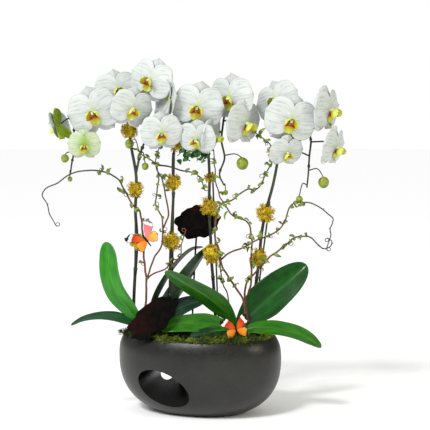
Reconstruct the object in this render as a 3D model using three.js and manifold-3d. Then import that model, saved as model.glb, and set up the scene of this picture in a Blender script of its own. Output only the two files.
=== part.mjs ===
// A potted moth orchid arrangement: four flower spikes on stakes in an oval bowl with a
// tapering tunnel through it, with leaves, moss, curly willow, dried mushrooms and butterflies.
// Millimetres, +Z up, the front of the bowl facing -Y. The origin is the centre of the bowl's foot.
import * as THREE from "three";
import { mergeVertices } from "three/addons/utils/BufferGeometryUtils.js";
import Module from "manifold-3d";

const wasm = await Module();
wasm.setup();

// ---- driving dimensions -------------------------------------------------------------------
const GAP = 0.35; // clearance kept between neighbouring pieces
const BOWL = {
  halfWidth: 168, halfDepth: 118, belly: 115, under: 125, over: 85, rim: 156, wall: 7,
  fullness: 2.5, // 2 would be an ellipse in section, and more is squarer
  turn: -20, // the long axis's turn about the vertical
};
const TUNNEL = {
  wall: 5, tilt: 25,
  front: { x: -74.5, y: -72, z: 60, halfWidth: 53, halfHeight: 31.5 },
  rear: { x: -68, y: 110, z: 57, halfWidth: 14, halfHeight: 14 },
  reach: 50, // how far the passage is carried on past both openings
};
const MOSS = { halfWidth: 154, halfDepth: 107, halfHeight: 34, centre: 144, under: 140 };
const SPIKE_RADIUS = 2.6;
const STALK_RADIUS = 1.5;
const STAKE_RADIUS = 1.7;
const WILLOW_RADIUS = 1.7;
const LEAF_THICKNESS = 1.8;
const PETAL_THICKNESS = 1.2;
const PLANTED = 118; // how deep stems and stakes reach into the potting mix

// ---- materials ----------------------------------------------------------------------------
const material = (color, roughness, metalness = 0) =>
  new THREE.MeshStandardMaterial({ color, roughness, metalness });
const FINISH = {
  bowl: material(0x33322e, 0.55),
  potting_mix: material(0x3a2a1c, 0.95),
  moss: material(0x4a5a1c, 1.0),
  gold_moss: material(0xb89a1e, 1.0),
  stem: material(0x3c4a1e, 0.6),
  stake: material(0x1d1c1a, 0.5),
  leaf: material(0x1c6a16, 0.35),
  petal: material(0xf2f4f0, 0.6),
  willow: material(0x6e3a2a, 0.7),
  mushroom: material(0x17100e, 0.95),
  butterfly: material(0xd9601a, 0.7),
};

// ---- solids -------------------------------------------------------------------------------
const point = ([x, y, z]) => new THREE.Vector3(x, y, z);
const lerp = THREE.MathUtils.lerp;
const radians = THREE.MathUtils.degToRad;

// A three.js geometry as a manifold-3d solid.
function solid(geometry) {
  const bare = new THREE.BufferGeometry().setAttribute("position", geometry.getAttribute("position"));
  if (geometry.index) bare.setIndex(geometry.index);
  const merged = mergeVertices(bare, 1e-3);
  const made = new wasm.Manifold(new wasm.Mesh({
    numProp: 3,
    vertProperties: new Float32Array(merged.attributes.position.array),
    triVerts: new Uint32Array(merged.index.array),
  }));
  if (made.volume() > 0) return made;
  const turned = new Uint32Array(merged.index.array);
  for (let i = 0; i < turned.length; i += 3) [turned[i + 1], turned[i + 2]] = [turned[i + 2], turned[i + 1]];
  return new wasm.Manifold(new wasm.Mesh({
    numProp: 3,
    vertProperties: new Float32Array(merged.attributes.position.array),
    triVerts: turned,
  }));
}

// The same solid as a three.js geometry.
function geometryOf(made) {
  const { numProp, vertProperties, triVerts, numVert } = made.getMesh();
  const place = new Float32Array(numVert * 3);
  for (let i = 0; i < numVert; i++) place.set(vertProperties.subarray(i * numProp, i * numProp + 3), i * 3);
  const geometry = new THREE.BufferGeometry()
    .setAttribute("position", new THREE.BufferAttribute(place, 3))
    .setIndex(new THREE.BufferAttribute(new Uint32Array(triVerts), 1));
  geometry.computeVertexNormals();
  return geometry;
}

const join = (solids) => wasm.Manifold.union(solids);

// The largest of the separate bodies that a solid falls into.
function largest(shape) {
  return shape.decompose().reduce((best, next) => (next.volume() > best.volume() ? next : best));
}

// Moves every vertex of a geometry: shape(x, y, z) returns its new place.
function reshaped(geometry, shape) {
  const place = geometry.attributes.position;
  for (let i = 0; i < place.count; i++) {
    place.setXYZ(i, ...shape(place.getX(i), place.getY(i), place.getZ(i)));
  }
  return geometry;
}

function ellipsoid([x, y, z], [a, b, c], around = 10, down = 6) {
  const ball = new THREE.SphereGeometry(1, around, down).rotateX(Math.PI / 2);
  return solid(ball.scale(a, b, c).translate(x, y, z));
}

function block([x0, y0, z0], [x1, y1, z1]) {
  const box = new THREE.BoxGeometry(x1 - x0, y1 - y0, z1 - z0);
  return solid(box.translate((x0 + x1) / 2, (y0 + y1) / 2, (z0 + z1) / 2));
}

const stepsFor = (points) => Math.round(1.35 * (points.length - 1));

// A round stem along a smooth curve through the points, grown outwards by extra.
function stem(points, radius, extra = 0, sides = 5, steps = stepsFor(points)) {
  const section = new THREE.Shape();
  for (let i = 0; i < sides; i++) {
    const turn = (2 * Math.PI * i) / sides;
    section[i ? "lineTo" : "moveTo"]((radius + extra) * Math.cos(turn), (radius + extra) * Math.sin(turn));
  }
  section.closePath();
  const places = points.map(point);
  const [first, second] = places;
  const [before, last] = places.slice(-2);
  first.addScaledVector(first.clone().sub(second).normalize(), extra);
  last.addScaledVector(last.clone().sub(before).normalize(), extra);
  const route = new THREE.CatmullRomCurve3(places);
  return solid(new THREE.ExtrudeGeometry(section, { steps, bevelEnabled: false, extrudePath: route }));
}

// ---- fitting: each piece is cut back from the pieces already made ---------------------------
// build(extra) makes a piece grown outwards by extra on every side.
const made = [];

function near(a, b) {
  const [p, q] = [a.boundingBox(), b.boundingBox()];
  return [0, 1, 2].every((k) => p.min[k] < q.max[k] + GAP && q.min[k] < p.max[k] + GAP);
}

function fitted(build) {
  let left = build(0);
  for (const other of made) {
    if (!near(left, other.shape)) continue;
    other.grown ??= other.build(GAP);
    left = left.subtract(other.grown);
  }
  return largest(solid(geometryOf(largest(left))));
}

const part = new THREE.Group();
function add(name, finish, build) {
  const shape = fitted(build);
  made.push({ build, shape });
  const mesh = new THREE.Mesh(geometryOf(shape), FINISH[finish]);
  mesh.name = name;
  part.add(mesh);
}

// ---- bowl ---------------------------------------------------------------------------------
// A tapering oval passage from front to back, grown outwards by extra.
function tunnel(extra) {
  const { front, rear, tilt, reach } = TUNNEL;
  const span = rear.y - front.y;
  const [cos, sin] = [Math.cos(radians(-tilt)), Math.sin(radians(-tilt))];
  const tube = new THREE.CylinderGeometry(1, 1, 1, 16, 1);
  return solid(reshaped(tube, (x, y, z) => {
    const along = lerp(front.y - reach, rear.y + reach, y + 0.5);
    const share = (along - front.y) / span;
    const wide = x * (lerp(front.halfWidth, rear.halfWidth, share) + extra);
    const high = z * (lerp(front.halfHeight, rear.halfHeight, share) + extra);
    const [across, up] = [lerp(front.x, rear.x, share), lerp(front.z, rear.z, share)];
    return [across + wide * cos - high * sin, along, up + wide * sin + high * cos];
  }));
}

function bowlBody(inset, from, to, around, down) {
  const { halfWidth, halfDepth, belly, under, over, fullness, turn } = BOWL;
  const ball = new THREE.SphereGeometry(1, around, down).rotateX(Math.PI / 2);
  const body = reshaped(ball, (x, y, z) => {
    const out = Math.hypot(x, y) ** (2 / fullness - 1);
    const rise = Math.sign(z) * Math.abs(z) ** (2 / fullness);
    const high = (z < 0 ? under : over) - inset;
    return [x * out * (halfWidth - inset), y * out * (halfDepth - inset), belly + rise * high];
  });
  const room = block([-2 * halfWidth, -2 * halfWidth, from], [2 * halfWidth, 2 * halfWidth, to]);
  return solid(body.rotateZ(radians(turn))).intersect(room);
}

function bowl(extra) {
  const hollow = bowlBody(BOWL.wall + extra, BOWL.wall + extra, BOWL.rim + 5, 24, 12);
  const outside = bowlBody(-extra, -extra, BOWL.rim + extra, 32, 18);
  return outside.subtract(hollow.subtract(tunnel(TUNNEL.wall + extra))).subtract(tunnel(-extra));
}

add("bowl", "bowl", bowl);

// ---- crowns, spikes and stakes --------------------------------------------------------------
const CROWNS = { left: [-112, -8], right: [74, -22] };
const CROWN = { top: 10, foot: 13, from: 128, to: 186 };
function crown([x, y], extra) {
  const { top, foot, from, to } = CROWN;
  const trunk = new THREE.CylinderGeometry(top + extra, foot + extra, to - from + 2 * extra, 10);
  return solid(trunk.rotateX(Math.PI / 2).translate(x, y, (from + to) / 2));
}

for (const [side, place] of Object.entries(CROWNS)) {
  add(`crown_${side}`, "stem", (extra) => crown(place, extra));
}

// A flower's place, its turn about the vertical, its nod (down is positive), its roll and its span,
// and root, the point on the spike that its stalk grows from.
const FLOWERS = {
  a1: { at: [-226, -36, 537], turn: 5, nod: 8, roll: 0, span: 66, root: [-249, -2, 545] },
  a2: { at: [-274, -18, 574], turn: -115, nod: 22, roll: 0, span: 74, root: [-246, 3, 590] },
  a3: { at: [-208, -28, 600], turn: -6, nod: 5, roll: -16, span: 106, root: [-228, 11, 630] },
  a4: { at: [-163, -6, 641], turn: 14, nod: -12, roll: -8, span: 96, root: [-178, 16, 642] },
  a5: { at: [-133, -42, 608], turn: 24, nod: 10, roll: 12, span: 88, root: [-146, 5, 599] },
  a6: { at: [-64, -20, 626], turn: 118, nod: 8, roll: 0, span: 88, root: [-98, 12, 630] },
  b1: { at: [-95, -16, 662], turn: -22, nod: -6, roll: 18, span: 94, root: [-78, 10, 657] },
  b2: { at: [-74, -48, 562], turn: 4, nod: 10, roll: -4, span: 84, root: [-46, 9, 575] },
  c1: { at: [-2, -40, 611], turn: -5, nod: 3, roll: 10, span: 104, root: [17, 14, 578] },
  c2: { at: [-4, -46, 550], turn: -18, nod: 16, roll: 4, span: 78, root: [16, 12, 545] },
  c3: { at: [24, -26, 556], turn: 66, nod: 12, roll: 0, span: 84, root: [44, 0, 560] },
  c4: { at: [62, -20, 630], turn: -26, nod: 2, roll: 0, span: 98, root: [45, 15, 612] },
  c5: { at: [86, -30, 580], turn: 48, nod: 8, roll: 0, span: 98, root: [48, 5, 583] },
  d1: { at: [179, -42, 585], turn: 6, nod: 3, roll: 14, span: 106, root: [182, 16, 610] },
  d2: { at: [154, -8, 620], turn: -30, nod: -12, roll: -22, span: 94, root: [171, 13, 590] },
  d3: { at: [171, -34, 524], turn: 22, nod: 22, roll: 0, span: 72, root: [219, 4, 515] },
  d4: { at: [252, -16, 605], turn: 58, nod: 3, roll: -4, span: 100, root: [210, 14, 605] },
  d5: { at: [264, -20, 532], turn: 58, nod: 12, roll: 0, span: 86, root: [222, 6, 541] },
};
const BEHIND = 2.2; // a flower's stalk ends this far behind its centre

function aim({ turn, nod, roll }) {
  return new THREE.Euler(radians(nod), radians(roll), radians(turn), "ZXY");
}

function stalkOf(flower, joint, extra) {
  const back = new THREE.Vector3(0, BEHIND, 0).applyEuler(aim(flower));
  const further = new THREE.Vector3(0, 6 * BEHIND, 2).applyEuler(aim(flower));
  const at = point(flower.at);
  const route = [joint, at.clone().add(further).toArray(), at.add(back).toArray()];
  return stem(route, STALK_RADIUS, extra, 4, 4);
}

const SPIKES = {
  a: {
    routes: [
      [[-132, 0, PLANTED], [-132, 0, 207], [-130, 5, 263], [-125, 5, 343], [-128, 5, 403], [-126, 5, 470],
        [-135, 2, 527], [-140, 0, 563], [-146, 5, 599], [-164, 15, 631], [-192, 18, 647], [-224, 12, 637],
        [-243, 5, 607], [-249, 0, 563], [-249, -5, 523], [-253, -8, 500], [-256, -10, 478]],
      [[-126, 5, 480], [-118, 5, 517], [-109, 0, 545], [-112, 0, 579], [-110, 8, 612], [-98, 12, 630]],
    ],
    buds: [
      { at: [-267, -8, 509], size: [8, 8, 8], root: [-250, -6, 518] },
      { at: [-257, -10, 468], size: [5, 5, 6], root: [-256, -10, 480] },
      { at: [-139, -8, 538], size: [9, 9, 9], root: [-134, 2, 522] },
      { at: [-108, -2, 493], size: [6, 6, 9], root: [-117, 5, 517] },
    ],
    stake: { foot: [-132, 8, PLANTED], top: [-127, 12, 470] },
  },
  b: {
    routes: [
      [[-59, 5, PLANTED], [-59, 5, 186], [-59, 10, 262], [-58, 10, 322], [-55, 10, 382], [-52, 8, 440],
        [-53, 8, 503], [-47, 8, 543], [-45, 10, 579], [-47, 10, 607], [-57, 12, 639], [-78, 10, 657]],
    ],
    buds: [],
    stake: { foot: [-57, 14, PLANTED], top: [-50, 16, 545] },
  },
  c: {
    routes: [
      [[33, 0, PLANTED], [32, 5, 186], [28, 10, 254], [24, 12, 302], [22, 12, 352], [19, 12, 406],
        [20, 12, 470], [17, 12, 533], [16, 14, 567], [22, 18, 599], [39, 18, 615], [50, 12, 603],
        [47, 5, 577], [44, 0, 543], [50, -4, 509], [40, -6, 478], [49, -8, 455]],
    ],
    buds: [
      { at: [85, -6, 499], size: [12, 11, 13], root: [50, -4, 512] },
      { at: [52, -8, 441], size: [4, 4, 6], root: [48, -8, 456] },
    ],
    stake: { foot: [40, 8, PLANTED], top: [26, 20, 480] },
  },
  d: {
    routes: [
      [[93, 12, PLANTED], [99, 12, 185], [111, 14, 241], [119, 14, 298], [124, 14, 352], [132, 14, 398],
        [147, 12, 455], [156, 10, 503], [160, 8, 540], [171, 13, 590], [190, 18, 616], [208, 15, 609],
        [217, 10, 583], [219, 8, 561], [222, 6, 541], [219, 4, 513], [217, 2, 479], [214, 0, 450]],
    ],
    buds: [
      { at: [247, 0, 461], size: [11, 10, 11], root: [218, 3, 484] },
      { at: [199, 0, 427], size: [6.5, 6.5, 8], root: [214, 1, 456] },
    ],
    stake: { foot: [104, 20, PLANTED], top: [141, 24, 420] },
  },
};

// A bud on a stalk that rises from the spike and then nods.
function budOn({ at, size }, joint, extra) {
  const top = [at[0], at[1], at[2] + size[2] - 1];
  const bend = [lerp(joint[0], at[0], 0.6), lerp(joint[1], at[1], 0.6), Math.max(joint[2], top[2]) + 3];
  const swollen = size.map((half) => half + extra);
  return join([stem([joint, bend, top], STALK_RADIUS, extra, 4, 3), ellipsoid(at, swollen, 6, 4)]);
}

// Stalks start at the nearest of the evenly spaced places along the spike.
function spike({ routes, buds }, flowers, extra) {
  const places = routes.flatMap((route) => {
    return new THREE.CatmullRomCurve3(route.map(point)).getSpacedPoints(stepsFor(route));
  });
  const joint = ({ root }) => {
    const from = point(root);
    const apart = (place) => place.distanceTo(from);
    return places.reduce((best, next) => (apart(next) < apart(best) ? next : best)).toArray();
  };
  return join([
    ...routes.map((route) => stem(route, SPIKE_RADIUS, extra)),
    ...buds.map((bud) => budOn(bud, joint(bud), extra)),
    ...flowers.map((flower) => stalkOf(flower, joint(flower), extra)),
  ]);
}

for (const [letter, plan] of Object.entries(SPIKES)) {
  const own = Object.keys(FLOWERS).filter((name) => name.startsWith(letter));
  const flowers = own.map((name) => FLOWERS[name]);
  const { foot, top } = plan.stake;
  add(`spike_${letter}`, "stem", (extra) => spike(plan, flowers, extra));
  add(`support_stake_${letter}`, "stake", (extra) => stem([foot, top], STAKE_RADIUS, extra, 6, 1));
}

// ---- curly willow ---------------------------------------------------------------------------
const WILLOW = {
  left: [
    [[-122, -28, 125], [-114, -25, 191], [-106, -25, 227], [-105, -25, 266], [-109, -25, 302],
      [-113, -22, 361], [-116, -18, 401], [-130, -14, 414], [-148, -14, 444], [-162, -14, 468],
      [-188, -14, 482], [-218, -14, 485], [-251, -18, 480], [-281, -18, 460], [-303, -18, 450],
      [-311, -18, 436], [-302, -18, 419], [-297, -18, 401], [-287, -18, 378]],
    [[-105, -25, 268], [-90, -25, 310], [-76, -22, 333], [-72, -20, 361], [-75, -18, 395],
      [-87, -16, 418], [-83, -14, 446], [-81, -12, 472], [-85, -12, 496], [-103, -12, 510],
      [-118, -10, 520], [-124, -14, 542]],
    [[-73, -20, 368], [-62, -10, 396], [-66, -10, 432], [-73, -10, 464], [-85, -12, 492],
      [-84, -14, 520], [-74, -16, 540]],
    [[-85, -12, 496], [-57, -8, 492], [-33, -8, 484], [-9, -8, 480], [4, -8, 466], [10, -6, 448]],
    [[-105, -25, 270], [-90, -28, 282], [-68, -28, 290], [-53, -28, 307], [-37, -28, 313],
      [-34, -28, 342], [-27, -26, 364]],
  ],
  centre: [
    [[88, -40, 125], [90, -30, 182], [89, -26, 222], [76, -22, 246], [59, -20, 272], [45, -18, 297],
      [39, -16, 329], [30, -14, 361], [35, -14, 400], [45, -14, 420], [63, -14, 426], [91, -12, 446],
      [113, -10, 448], [125, -8, 460], [135, -8, 486], [145, -8, 504], [144, -10, 528],
      [133, -10, 544], [111, -10, 560], [100, -10, 574]],
    [[43, -17, 308], [61, -14, 322], [85, -12, 330], [113, -8, 345], [137, -8, 355], [159, -6, 367],
      [171, -4, 383], [178, -4, 407], [189, -4, 419], [209, -4, 421], [231, -4, 416], [263, -4, 393],
      [265, -4, 381], [261, -4, 367], [262, -4, 353], [253, -4, 331]],
    [[70, 4, 125], [62, 0, 187], [56, -4, 237], [47, -10, 261], [41, -16, 300], [39, -16, 325]],
  ],
  upright: [
    [[94, -6, 125], [94, -2, 188], [96, -2, 228], [103, -2, 264], [102, 2, 300], [104, 2, 334],
      [102, 2, 368], [91, 0, 385], [71, -3, 391], [57, -4, 406], [43, -2, 429], [33, 0, 463],
      [30, -1, 503], [27, -2, 527]],
  ],
  right: [
    [[108, -18, 125], [96, -16, 189], [90, -16, 235], [95, -18, 263], [118, -18, 289], [138, -16, 311],
      [158, -14, 326], [174, -12, 338], [186, -12, 349], [202, -12, 354], [221, -12, 352],
      [236, -12, 337], [248, -12, 329], [260, -12, 334], [264, -10, 343], [258, -8, 348]],
  ],
};
for (const [name, routes] of Object.entries(WILLOW)) {
  const twigs = (extra) => join(routes.map((route) => stem(route, WILLOW_RADIUS, extra, 4)));
  add(`willow_${name}`, "willow", twigs);
}

// ---- dried mushrooms ------------------------------------------------------------------------
// A scalloped disc, domed on one side, lying flat about the origin.
function mushroomCap(radius, depth, extra) {
  const disc = new THREE.CylinderGeometry(1, 0.92, 1, 20, 1).rotateX(Math.PI / 2);
  const flat = solid(reshaped(disc, (x, y, z) => {
    const turn = Math.atan2(y, x);
    const edge = radius * (1 + 0.045 * Math.sin(5 * turn) + 0.03 * Math.sin(9 * turn + 1)) + extra;
    return [x * edge, y * edge, z * (depth + 2 * extra)];
  }));
  const wide = radius * 0.86 + extra;
  return flat.add(ellipsoid([0, 0, depth * 0.2], [wide, wide, depth + extra], 10, 5));
}

function uprightMushroom(extra) {
  const cap = mushroomCap(46, 12, extra).scale([0.98, 0.72, 1]).rotate([78, 0, 0]).rotate([0, -8, 0]);
  const stalk = stem([[-5, 36, 372], [-10, 38, 295], [-15, 44, 182], [-16, 46, 128]], 2, extra, 6, 4);
  return cap.translate([-4, 34, 378]).add(stalk);
}

function leaningMushroom(extra) {
  const cap = mushroomCap(58, 10, extra).scale([1, 0.62, 1]).rotate([48, 0, 0]).rotate([0, -38, 0]);
  const stalk = stem([[-90, -62, 198], [-88, -52, 172], [-86, -44, 128]], 2, extra, 6, 3);
  return cap.translate([-91, -66, 199]).add(stalk);
}

add("mushroom_upright", "mushroom", uprightMushroom);
add("mushroom_leaning", "mushroom", leaningMushroom);

// ---- leaves ---------------------------------------------------------------------------------
// route runs from the crown to the tip; across points along the blade's width, at the base and
// at the tip; fold lifts the edges towards the upper face, as a share of the half width; face is a
// direction that the upper face roughly looks along.
const LEAVES = {
  left_upright: {
    route: [[-108, -12, 172], [-124, -15, 190], [-144, -18, 214], [-166, -20, 242], [-178, -18, 277],
      [-182, -12, 315], [-187, -6, 342]],
    across: [[0.9, -0.3, 0.3], [1, -0.1, -0.05]], width: 42, fold: 0.12, face: [0, -1, 0.2],
  },
  left_low: {
    route: [[-110, -16, 169], [-128, -22, 178], [-146, -26, 187], [-169, -30, 193], [-201, -34, 195],
      [-230, -38, 191], [-254, -42, 180]],
    across: [[0.1, 0.95, 0.25], [0.1, 0.9, 0.35]], width: 42, fold: 0.15, blunt: 2.5,
  },
  left_back_wide: {
    route: [[-108, 0, 166], [-86, 6, 178], [-62, 14, 210], [-38, 20, 248], [-12, 26, 288], [16, 32, 326]],
    across: [[0.6, 0.7, -0.3], [0.62, 0.7, -0.35]], width: 46, fold: 0.4, blunt: 3,
  },
  left_back_narrow: {
    route: [[-112, 4, 168], [-99, 14, 190], [-80, 22, 238], [-52, 34, 285], [-20, 44, 318], [6, 52, 326]],
    across: [[0.3, 0.9, -0.2], [0.2, 0.95, -0.1]], width: 36, fold: 0.3, blunt: 3,
  },
  left_inner: {
    route: [[-100, 4, 168], [-82, 12, 182], [-56, 22, 196], [-26, 32, 210], [11, 44, 220]],
    across: [[-0.2, 0.6, 0.75], [-0.25, 0.6, 0.7]], width: 40, fold: 0.2,
  },
  right_arching: {
    route: [[72, -26, 170], [60, -30, 194], [40, -34, 216], [11, -38, 238], [-28, -40, 262], [-68, -36, 286]],
    across: [[0.5, -0.55, 0.65], [0.45, -0.45, 0.75]], width: 50, fold: 0.1, blunt: 3.5,
  },
  right_front: {
    route: [[70, -28, 164], [54, -40, 177], [26, -52, 184], [-8, -62, 187], [-42, -68, 185], [-76, -70, 177]],
    across: [[0.1, -0.7, -0.65], [0.1, -0.72, -0.65]], width: 46, fold: 0.12,
  },
  right_tall: {
    route: [[78, -18, 168], [96, -10, 192], [122, -4, 216], [151, 2, 241], [182, 8, 266], [215, 14, 294]],
    across: [[0.7, -0.15, -0.7], [0.66, -0.2, -0.72]], width: 76, fold: 0.08, blunt: 4.5,
  },
  right_low: {
    route: [[80, -26, 164], [100, -30, 171], [124, -36, 174], [154, -44, 173], [190, -52, 165],
      [218, -58, 153], [240, -62, 139]],
    across: [[0.1, -0.85, -0.5], [0.2, -0.8, -0.55]], width: 46, fold: 0.14,
  },
};

// How wide a leaf is at a share of its length: a narrow base, a broad middle and a rounded tip,
// which is blunter the higher the number blunt is.
function leafWidth(share, blunt) {
  return (0.36 + 0.64 * THREE.MathUtils.smoothstep(share, 0, 0.5)) * (1 - share ** blunt) ** 0.5;
}

function leafBlade({ route, across, width, fold, face = [0, -0.3, 1], blunt = 6 }, extra) {
  const spine = new THREE.CatmullRomCurve3(route.map(point));
  const [base, tip] = across.map((side) => point(side).normalize());
  const sheet = new THREE.BoxGeometry(1, 1, 1, 2, 9, 1);
  return solid(reshaped(sheet, (x, y, z) => {
    const share = Math.sin((Math.PI / 2) * (y + 0.5)); // closer steps towards the tip
    const [place, along] = [spine.getPointAt(share), spine.getTangentAt(share)];
    const side = base.clone().lerp(tip, share);
    side.addScaledVector(along, -side.dot(along)).normalize();
    const up = new THREE.Vector3().crossVectors(side, along);
    if (up.dot(point(face)) < 0) up.negate();
    const half = (width / 2) * Math.max(0.12, leafWidth(share, blunt)) + extra;
    place.addScaledVector(side, 2 * x * half);
    place.addScaledVector(up, fold * Math.abs(2 * x) * half + z * (LEAF_THICKNESS + 2 * extra));
    place.addScaledVector(along, 2 * y * extra);
    return place.toArray();
  }));
}

for (const [name, leaf] of Object.entries(LEAVES)) {
  add(`leaf_${name}`, "leaf", (extra) => leafBlade(leaf, extra));
}

// ---- flowers --------------------------------------------------------------------------------
// The five lobes of an open flower facing -Y: each one's angle from straight up, its reach as a
// share of the span, half the angle it fills, and how far back it sits as a share of the span.
const LOBES = [
  { angle: 0, reach: 0.5, fills: 38, back: 0.03 },
  { angle: 80, reach: 0.52, fills: 47, back: 0 },
  { angle: -80, reach: 0.52, fills: 47, back: 0 },
  { angle: 145, reach: 0.47, fills: 31, back: 0.03 },
  { angle: -145, reach: 0.47, fills: 31, back: 0.03 },
];
const LIP = { forward: 0.09, low: 0.03, size: [0.075, 0.1, 0.085] };
const HEART = 0.11; // the least reach, between two lobes

// How far a flower reaches, and how far back it sits, at an angle in degrees from straight up.
function lobeAt(angle) {
  let found = { reach: HEART, back: 0.012 };
  for (const lobe of LOBES) {
    const apart = Math.abs(((angle - lobe.angle + 540) % 360) - 180) / lobe.fills;
    if (apart >= 1) continue;
    const reach = lobe.reach * (1 - apart ** 3.2) ** 0.5;
    if (reach > found.reach) found = { reach, back: lobe.back };
  }
  return found;
}

function flower({ at, span, ...facing }, extra) {
  const disc = new THREE.CylinderGeometry(1, 1, 1, 30);
  const face = solid(reshaped(disc, (x, y, z) => {
    const thick = (PETAL_THICKNESS + 2 * extra) * y;
    if (Math.hypot(x, z) < 0.5) return [0, thick * 1.5, 0];
    const { reach, back } = lobeAt(THREE.MathUtils.radToDeg(Math.atan2(x, z)));
    return [x * (reach * span + extra), thick + back * span, z * (reach * span + extra)];
  }));
  const lipSize = LIP.size.map((share) => share * span + extra);
  const lip = ellipsoid([0, -LIP.forward * span, -LIP.low * span], lipSize, 6, 4);
  const matrix = new THREE.Matrix4().makeRotationFromEuler(aim(facing)).setPosition(...at);
  return face.add(lip).transform(matrix.elements);
}

for (const [name, plan] of Object.entries(FLOWERS)) {
  add(`flower_${name}`, "petal", (extra) => flower(plan, extra));
}

// ---- butterflies ----------------------------------------------------------------------------
// Two pairs of wings on a slim body. The body runs along Z and the wings open by the given angles.
function wing([long, wide], sweep, open, sign, extra) {
  const disc = new THREE.CylinderGeometry(1, 1, 1, 8).scale(wide + extra, 1 + 2 * extra, long + extra);
  disc.translate(0, 0, long * 0.92).rotateY(radians(sign * sweep)).rotateZ(radians(sign * -open));
  return solid(disc);
}

function butterfly(size, open, extra) {
  const body = ellipsoid([0, 0, -2], [1.8 + extra, 1.8 + extra, 13 + extra], 5, 4);
  const wings = [1, -1].flatMap((sign) => [
    wing([21.5, 10], 45, open, sign, extra),
    wing([13, 11.5], 101, open, sign, extra),
  ]);
  return join([body, ...wings]).scale(size);
}

function highButterfly(extra) {
  return butterfly(1, 10, extra).rotate([0, -38, 0]).rotate([0, 0, 6]).translate([-105, -46, 350]);
}

function lowButterfly(extra) {
  return butterfly(1, 36, extra).rotate([10, -12, 0]).translate([71, -98, 181]);
}

add("butterfly_high", "butterfly", highButterfly);
add("butterfly_low", "butterfly", lowButterfly);

// ---- golden moss tufts, tied round each spike and its stake ------------------------------------
const TUFTS = {
  a_top: [[-139, -1, 563], 15], a_middle: [[-127, 7, 447], 14], a_low: [[-124, 5, 342], 14],
  b_top: [[-47, 9, 537], 13], b_middle: [[-52, 10, 459], 15], b_low: [[-57, 11, 342], 17],
  c_top: [[20, 11, 469], 8], c_middle: [[20, 14, 410], 17], c_low: [[25, 13, 315], 19],
  d_top: [[154, 9, 521], 15], d_middle: [[133, 17, 398], 17], d_low: [[121, 16, 308], 18],
};
function tuft([[x, y, z], radius], extra) {
  const ball = new THREE.SphereGeometry(radius, 7, 4).rotateX(Math.PI / 2);
  return solid(reshaped(ball, (a, b, c) => {
    const swell = 1 + 0.12 * Math.sin(0.5 * a + z) * Math.cos(0.4 * b + x) + extra / radius;
    return [x + a * swell, y + b * swell * 0.85, z + c * swell * 1.08];
  }));
}

for (const [name, plan] of Object.entries(TUFTS)) {
  add(`moss_tuft_${name}`, "gold_moss", (extra) => tuft(plan, extra));
}

// ---- moss and potting mix -------------------------------------------------------------------
function insideBowl(from, to) {
  const room = bowlBody(BOWL.wall + GAP, BOWL.wall + GAP, BOWL.rim + 60, 24, 12);
  const slab = block([-BOWL.halfWidth, -BOWL.halfDepth, from], [BOWL.halfWidth, BOWL.halfDepth, to]);
  return room.subtract(tunnel(TUNNEL.wall + GAP)).intersect(slab);
}

function mossBed() {
  const mound = ellipsoid([0, 0, MOSS.centre], [MOSS.halfWidth, MOSS.halfDepth, MOSS.halfHeight], 16, 8);
  return mound.rotate([0, 0, BOWL.turn]).intersect(insideBowl(MOSS.under, BOWL.rim + 60));
}

add("moss_bed", "moss", mossBed);
add("potting_mix", "potting_mix", () => insideBowl(0, MOSS.under - GAP));

export default part;
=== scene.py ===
# %% [markdown]
# # A potted moth orchid, piece by piece
# The plant stands in an oval bowl with a tapering tunnel through it. Four flower spikes rise on
# stakes between strap leaves, curly willow, golden moss, dried mushrooms and two butterflies.
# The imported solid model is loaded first, because it says where each piece is and how big it is.

# %% Load the solid model
import math
import random

import bmesh
import bpy
from mathutils import Euler, Matrix, Vector, noise


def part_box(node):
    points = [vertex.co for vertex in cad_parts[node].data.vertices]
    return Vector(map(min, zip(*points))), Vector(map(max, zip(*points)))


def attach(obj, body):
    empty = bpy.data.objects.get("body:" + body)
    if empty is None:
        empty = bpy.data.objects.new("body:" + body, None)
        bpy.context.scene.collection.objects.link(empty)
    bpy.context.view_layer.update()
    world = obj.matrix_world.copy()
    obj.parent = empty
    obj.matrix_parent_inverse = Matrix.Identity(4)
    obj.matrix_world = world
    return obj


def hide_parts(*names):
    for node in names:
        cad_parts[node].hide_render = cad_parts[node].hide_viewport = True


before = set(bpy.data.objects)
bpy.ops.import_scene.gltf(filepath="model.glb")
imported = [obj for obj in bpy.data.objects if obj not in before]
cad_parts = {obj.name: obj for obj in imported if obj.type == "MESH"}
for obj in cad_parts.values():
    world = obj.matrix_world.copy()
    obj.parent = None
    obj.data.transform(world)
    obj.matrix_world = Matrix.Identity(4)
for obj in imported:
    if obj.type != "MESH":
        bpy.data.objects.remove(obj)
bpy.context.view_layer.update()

# %% [markdown]
# All lengths below are written in millimetres, as a maker would write them. Blender works in
# metres, so one constant turns one into the other.

# %% Units and a seeded source of chance
MM = 0.001
SEED = 7
chance = random.Random(SEED)
noise.seed_set(SEED)  # noise vectors would otherwise follow the clock


def mm(x, y, z):
    return Vector((x, y, z)) * MM


# %% [markdown]
# ## Finishes
# A finish is a Principled shader with a few nodes in front of it. The helper below keeps each
# one short: add() makes a node and plugs in values or other nodes' outputs.

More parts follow.
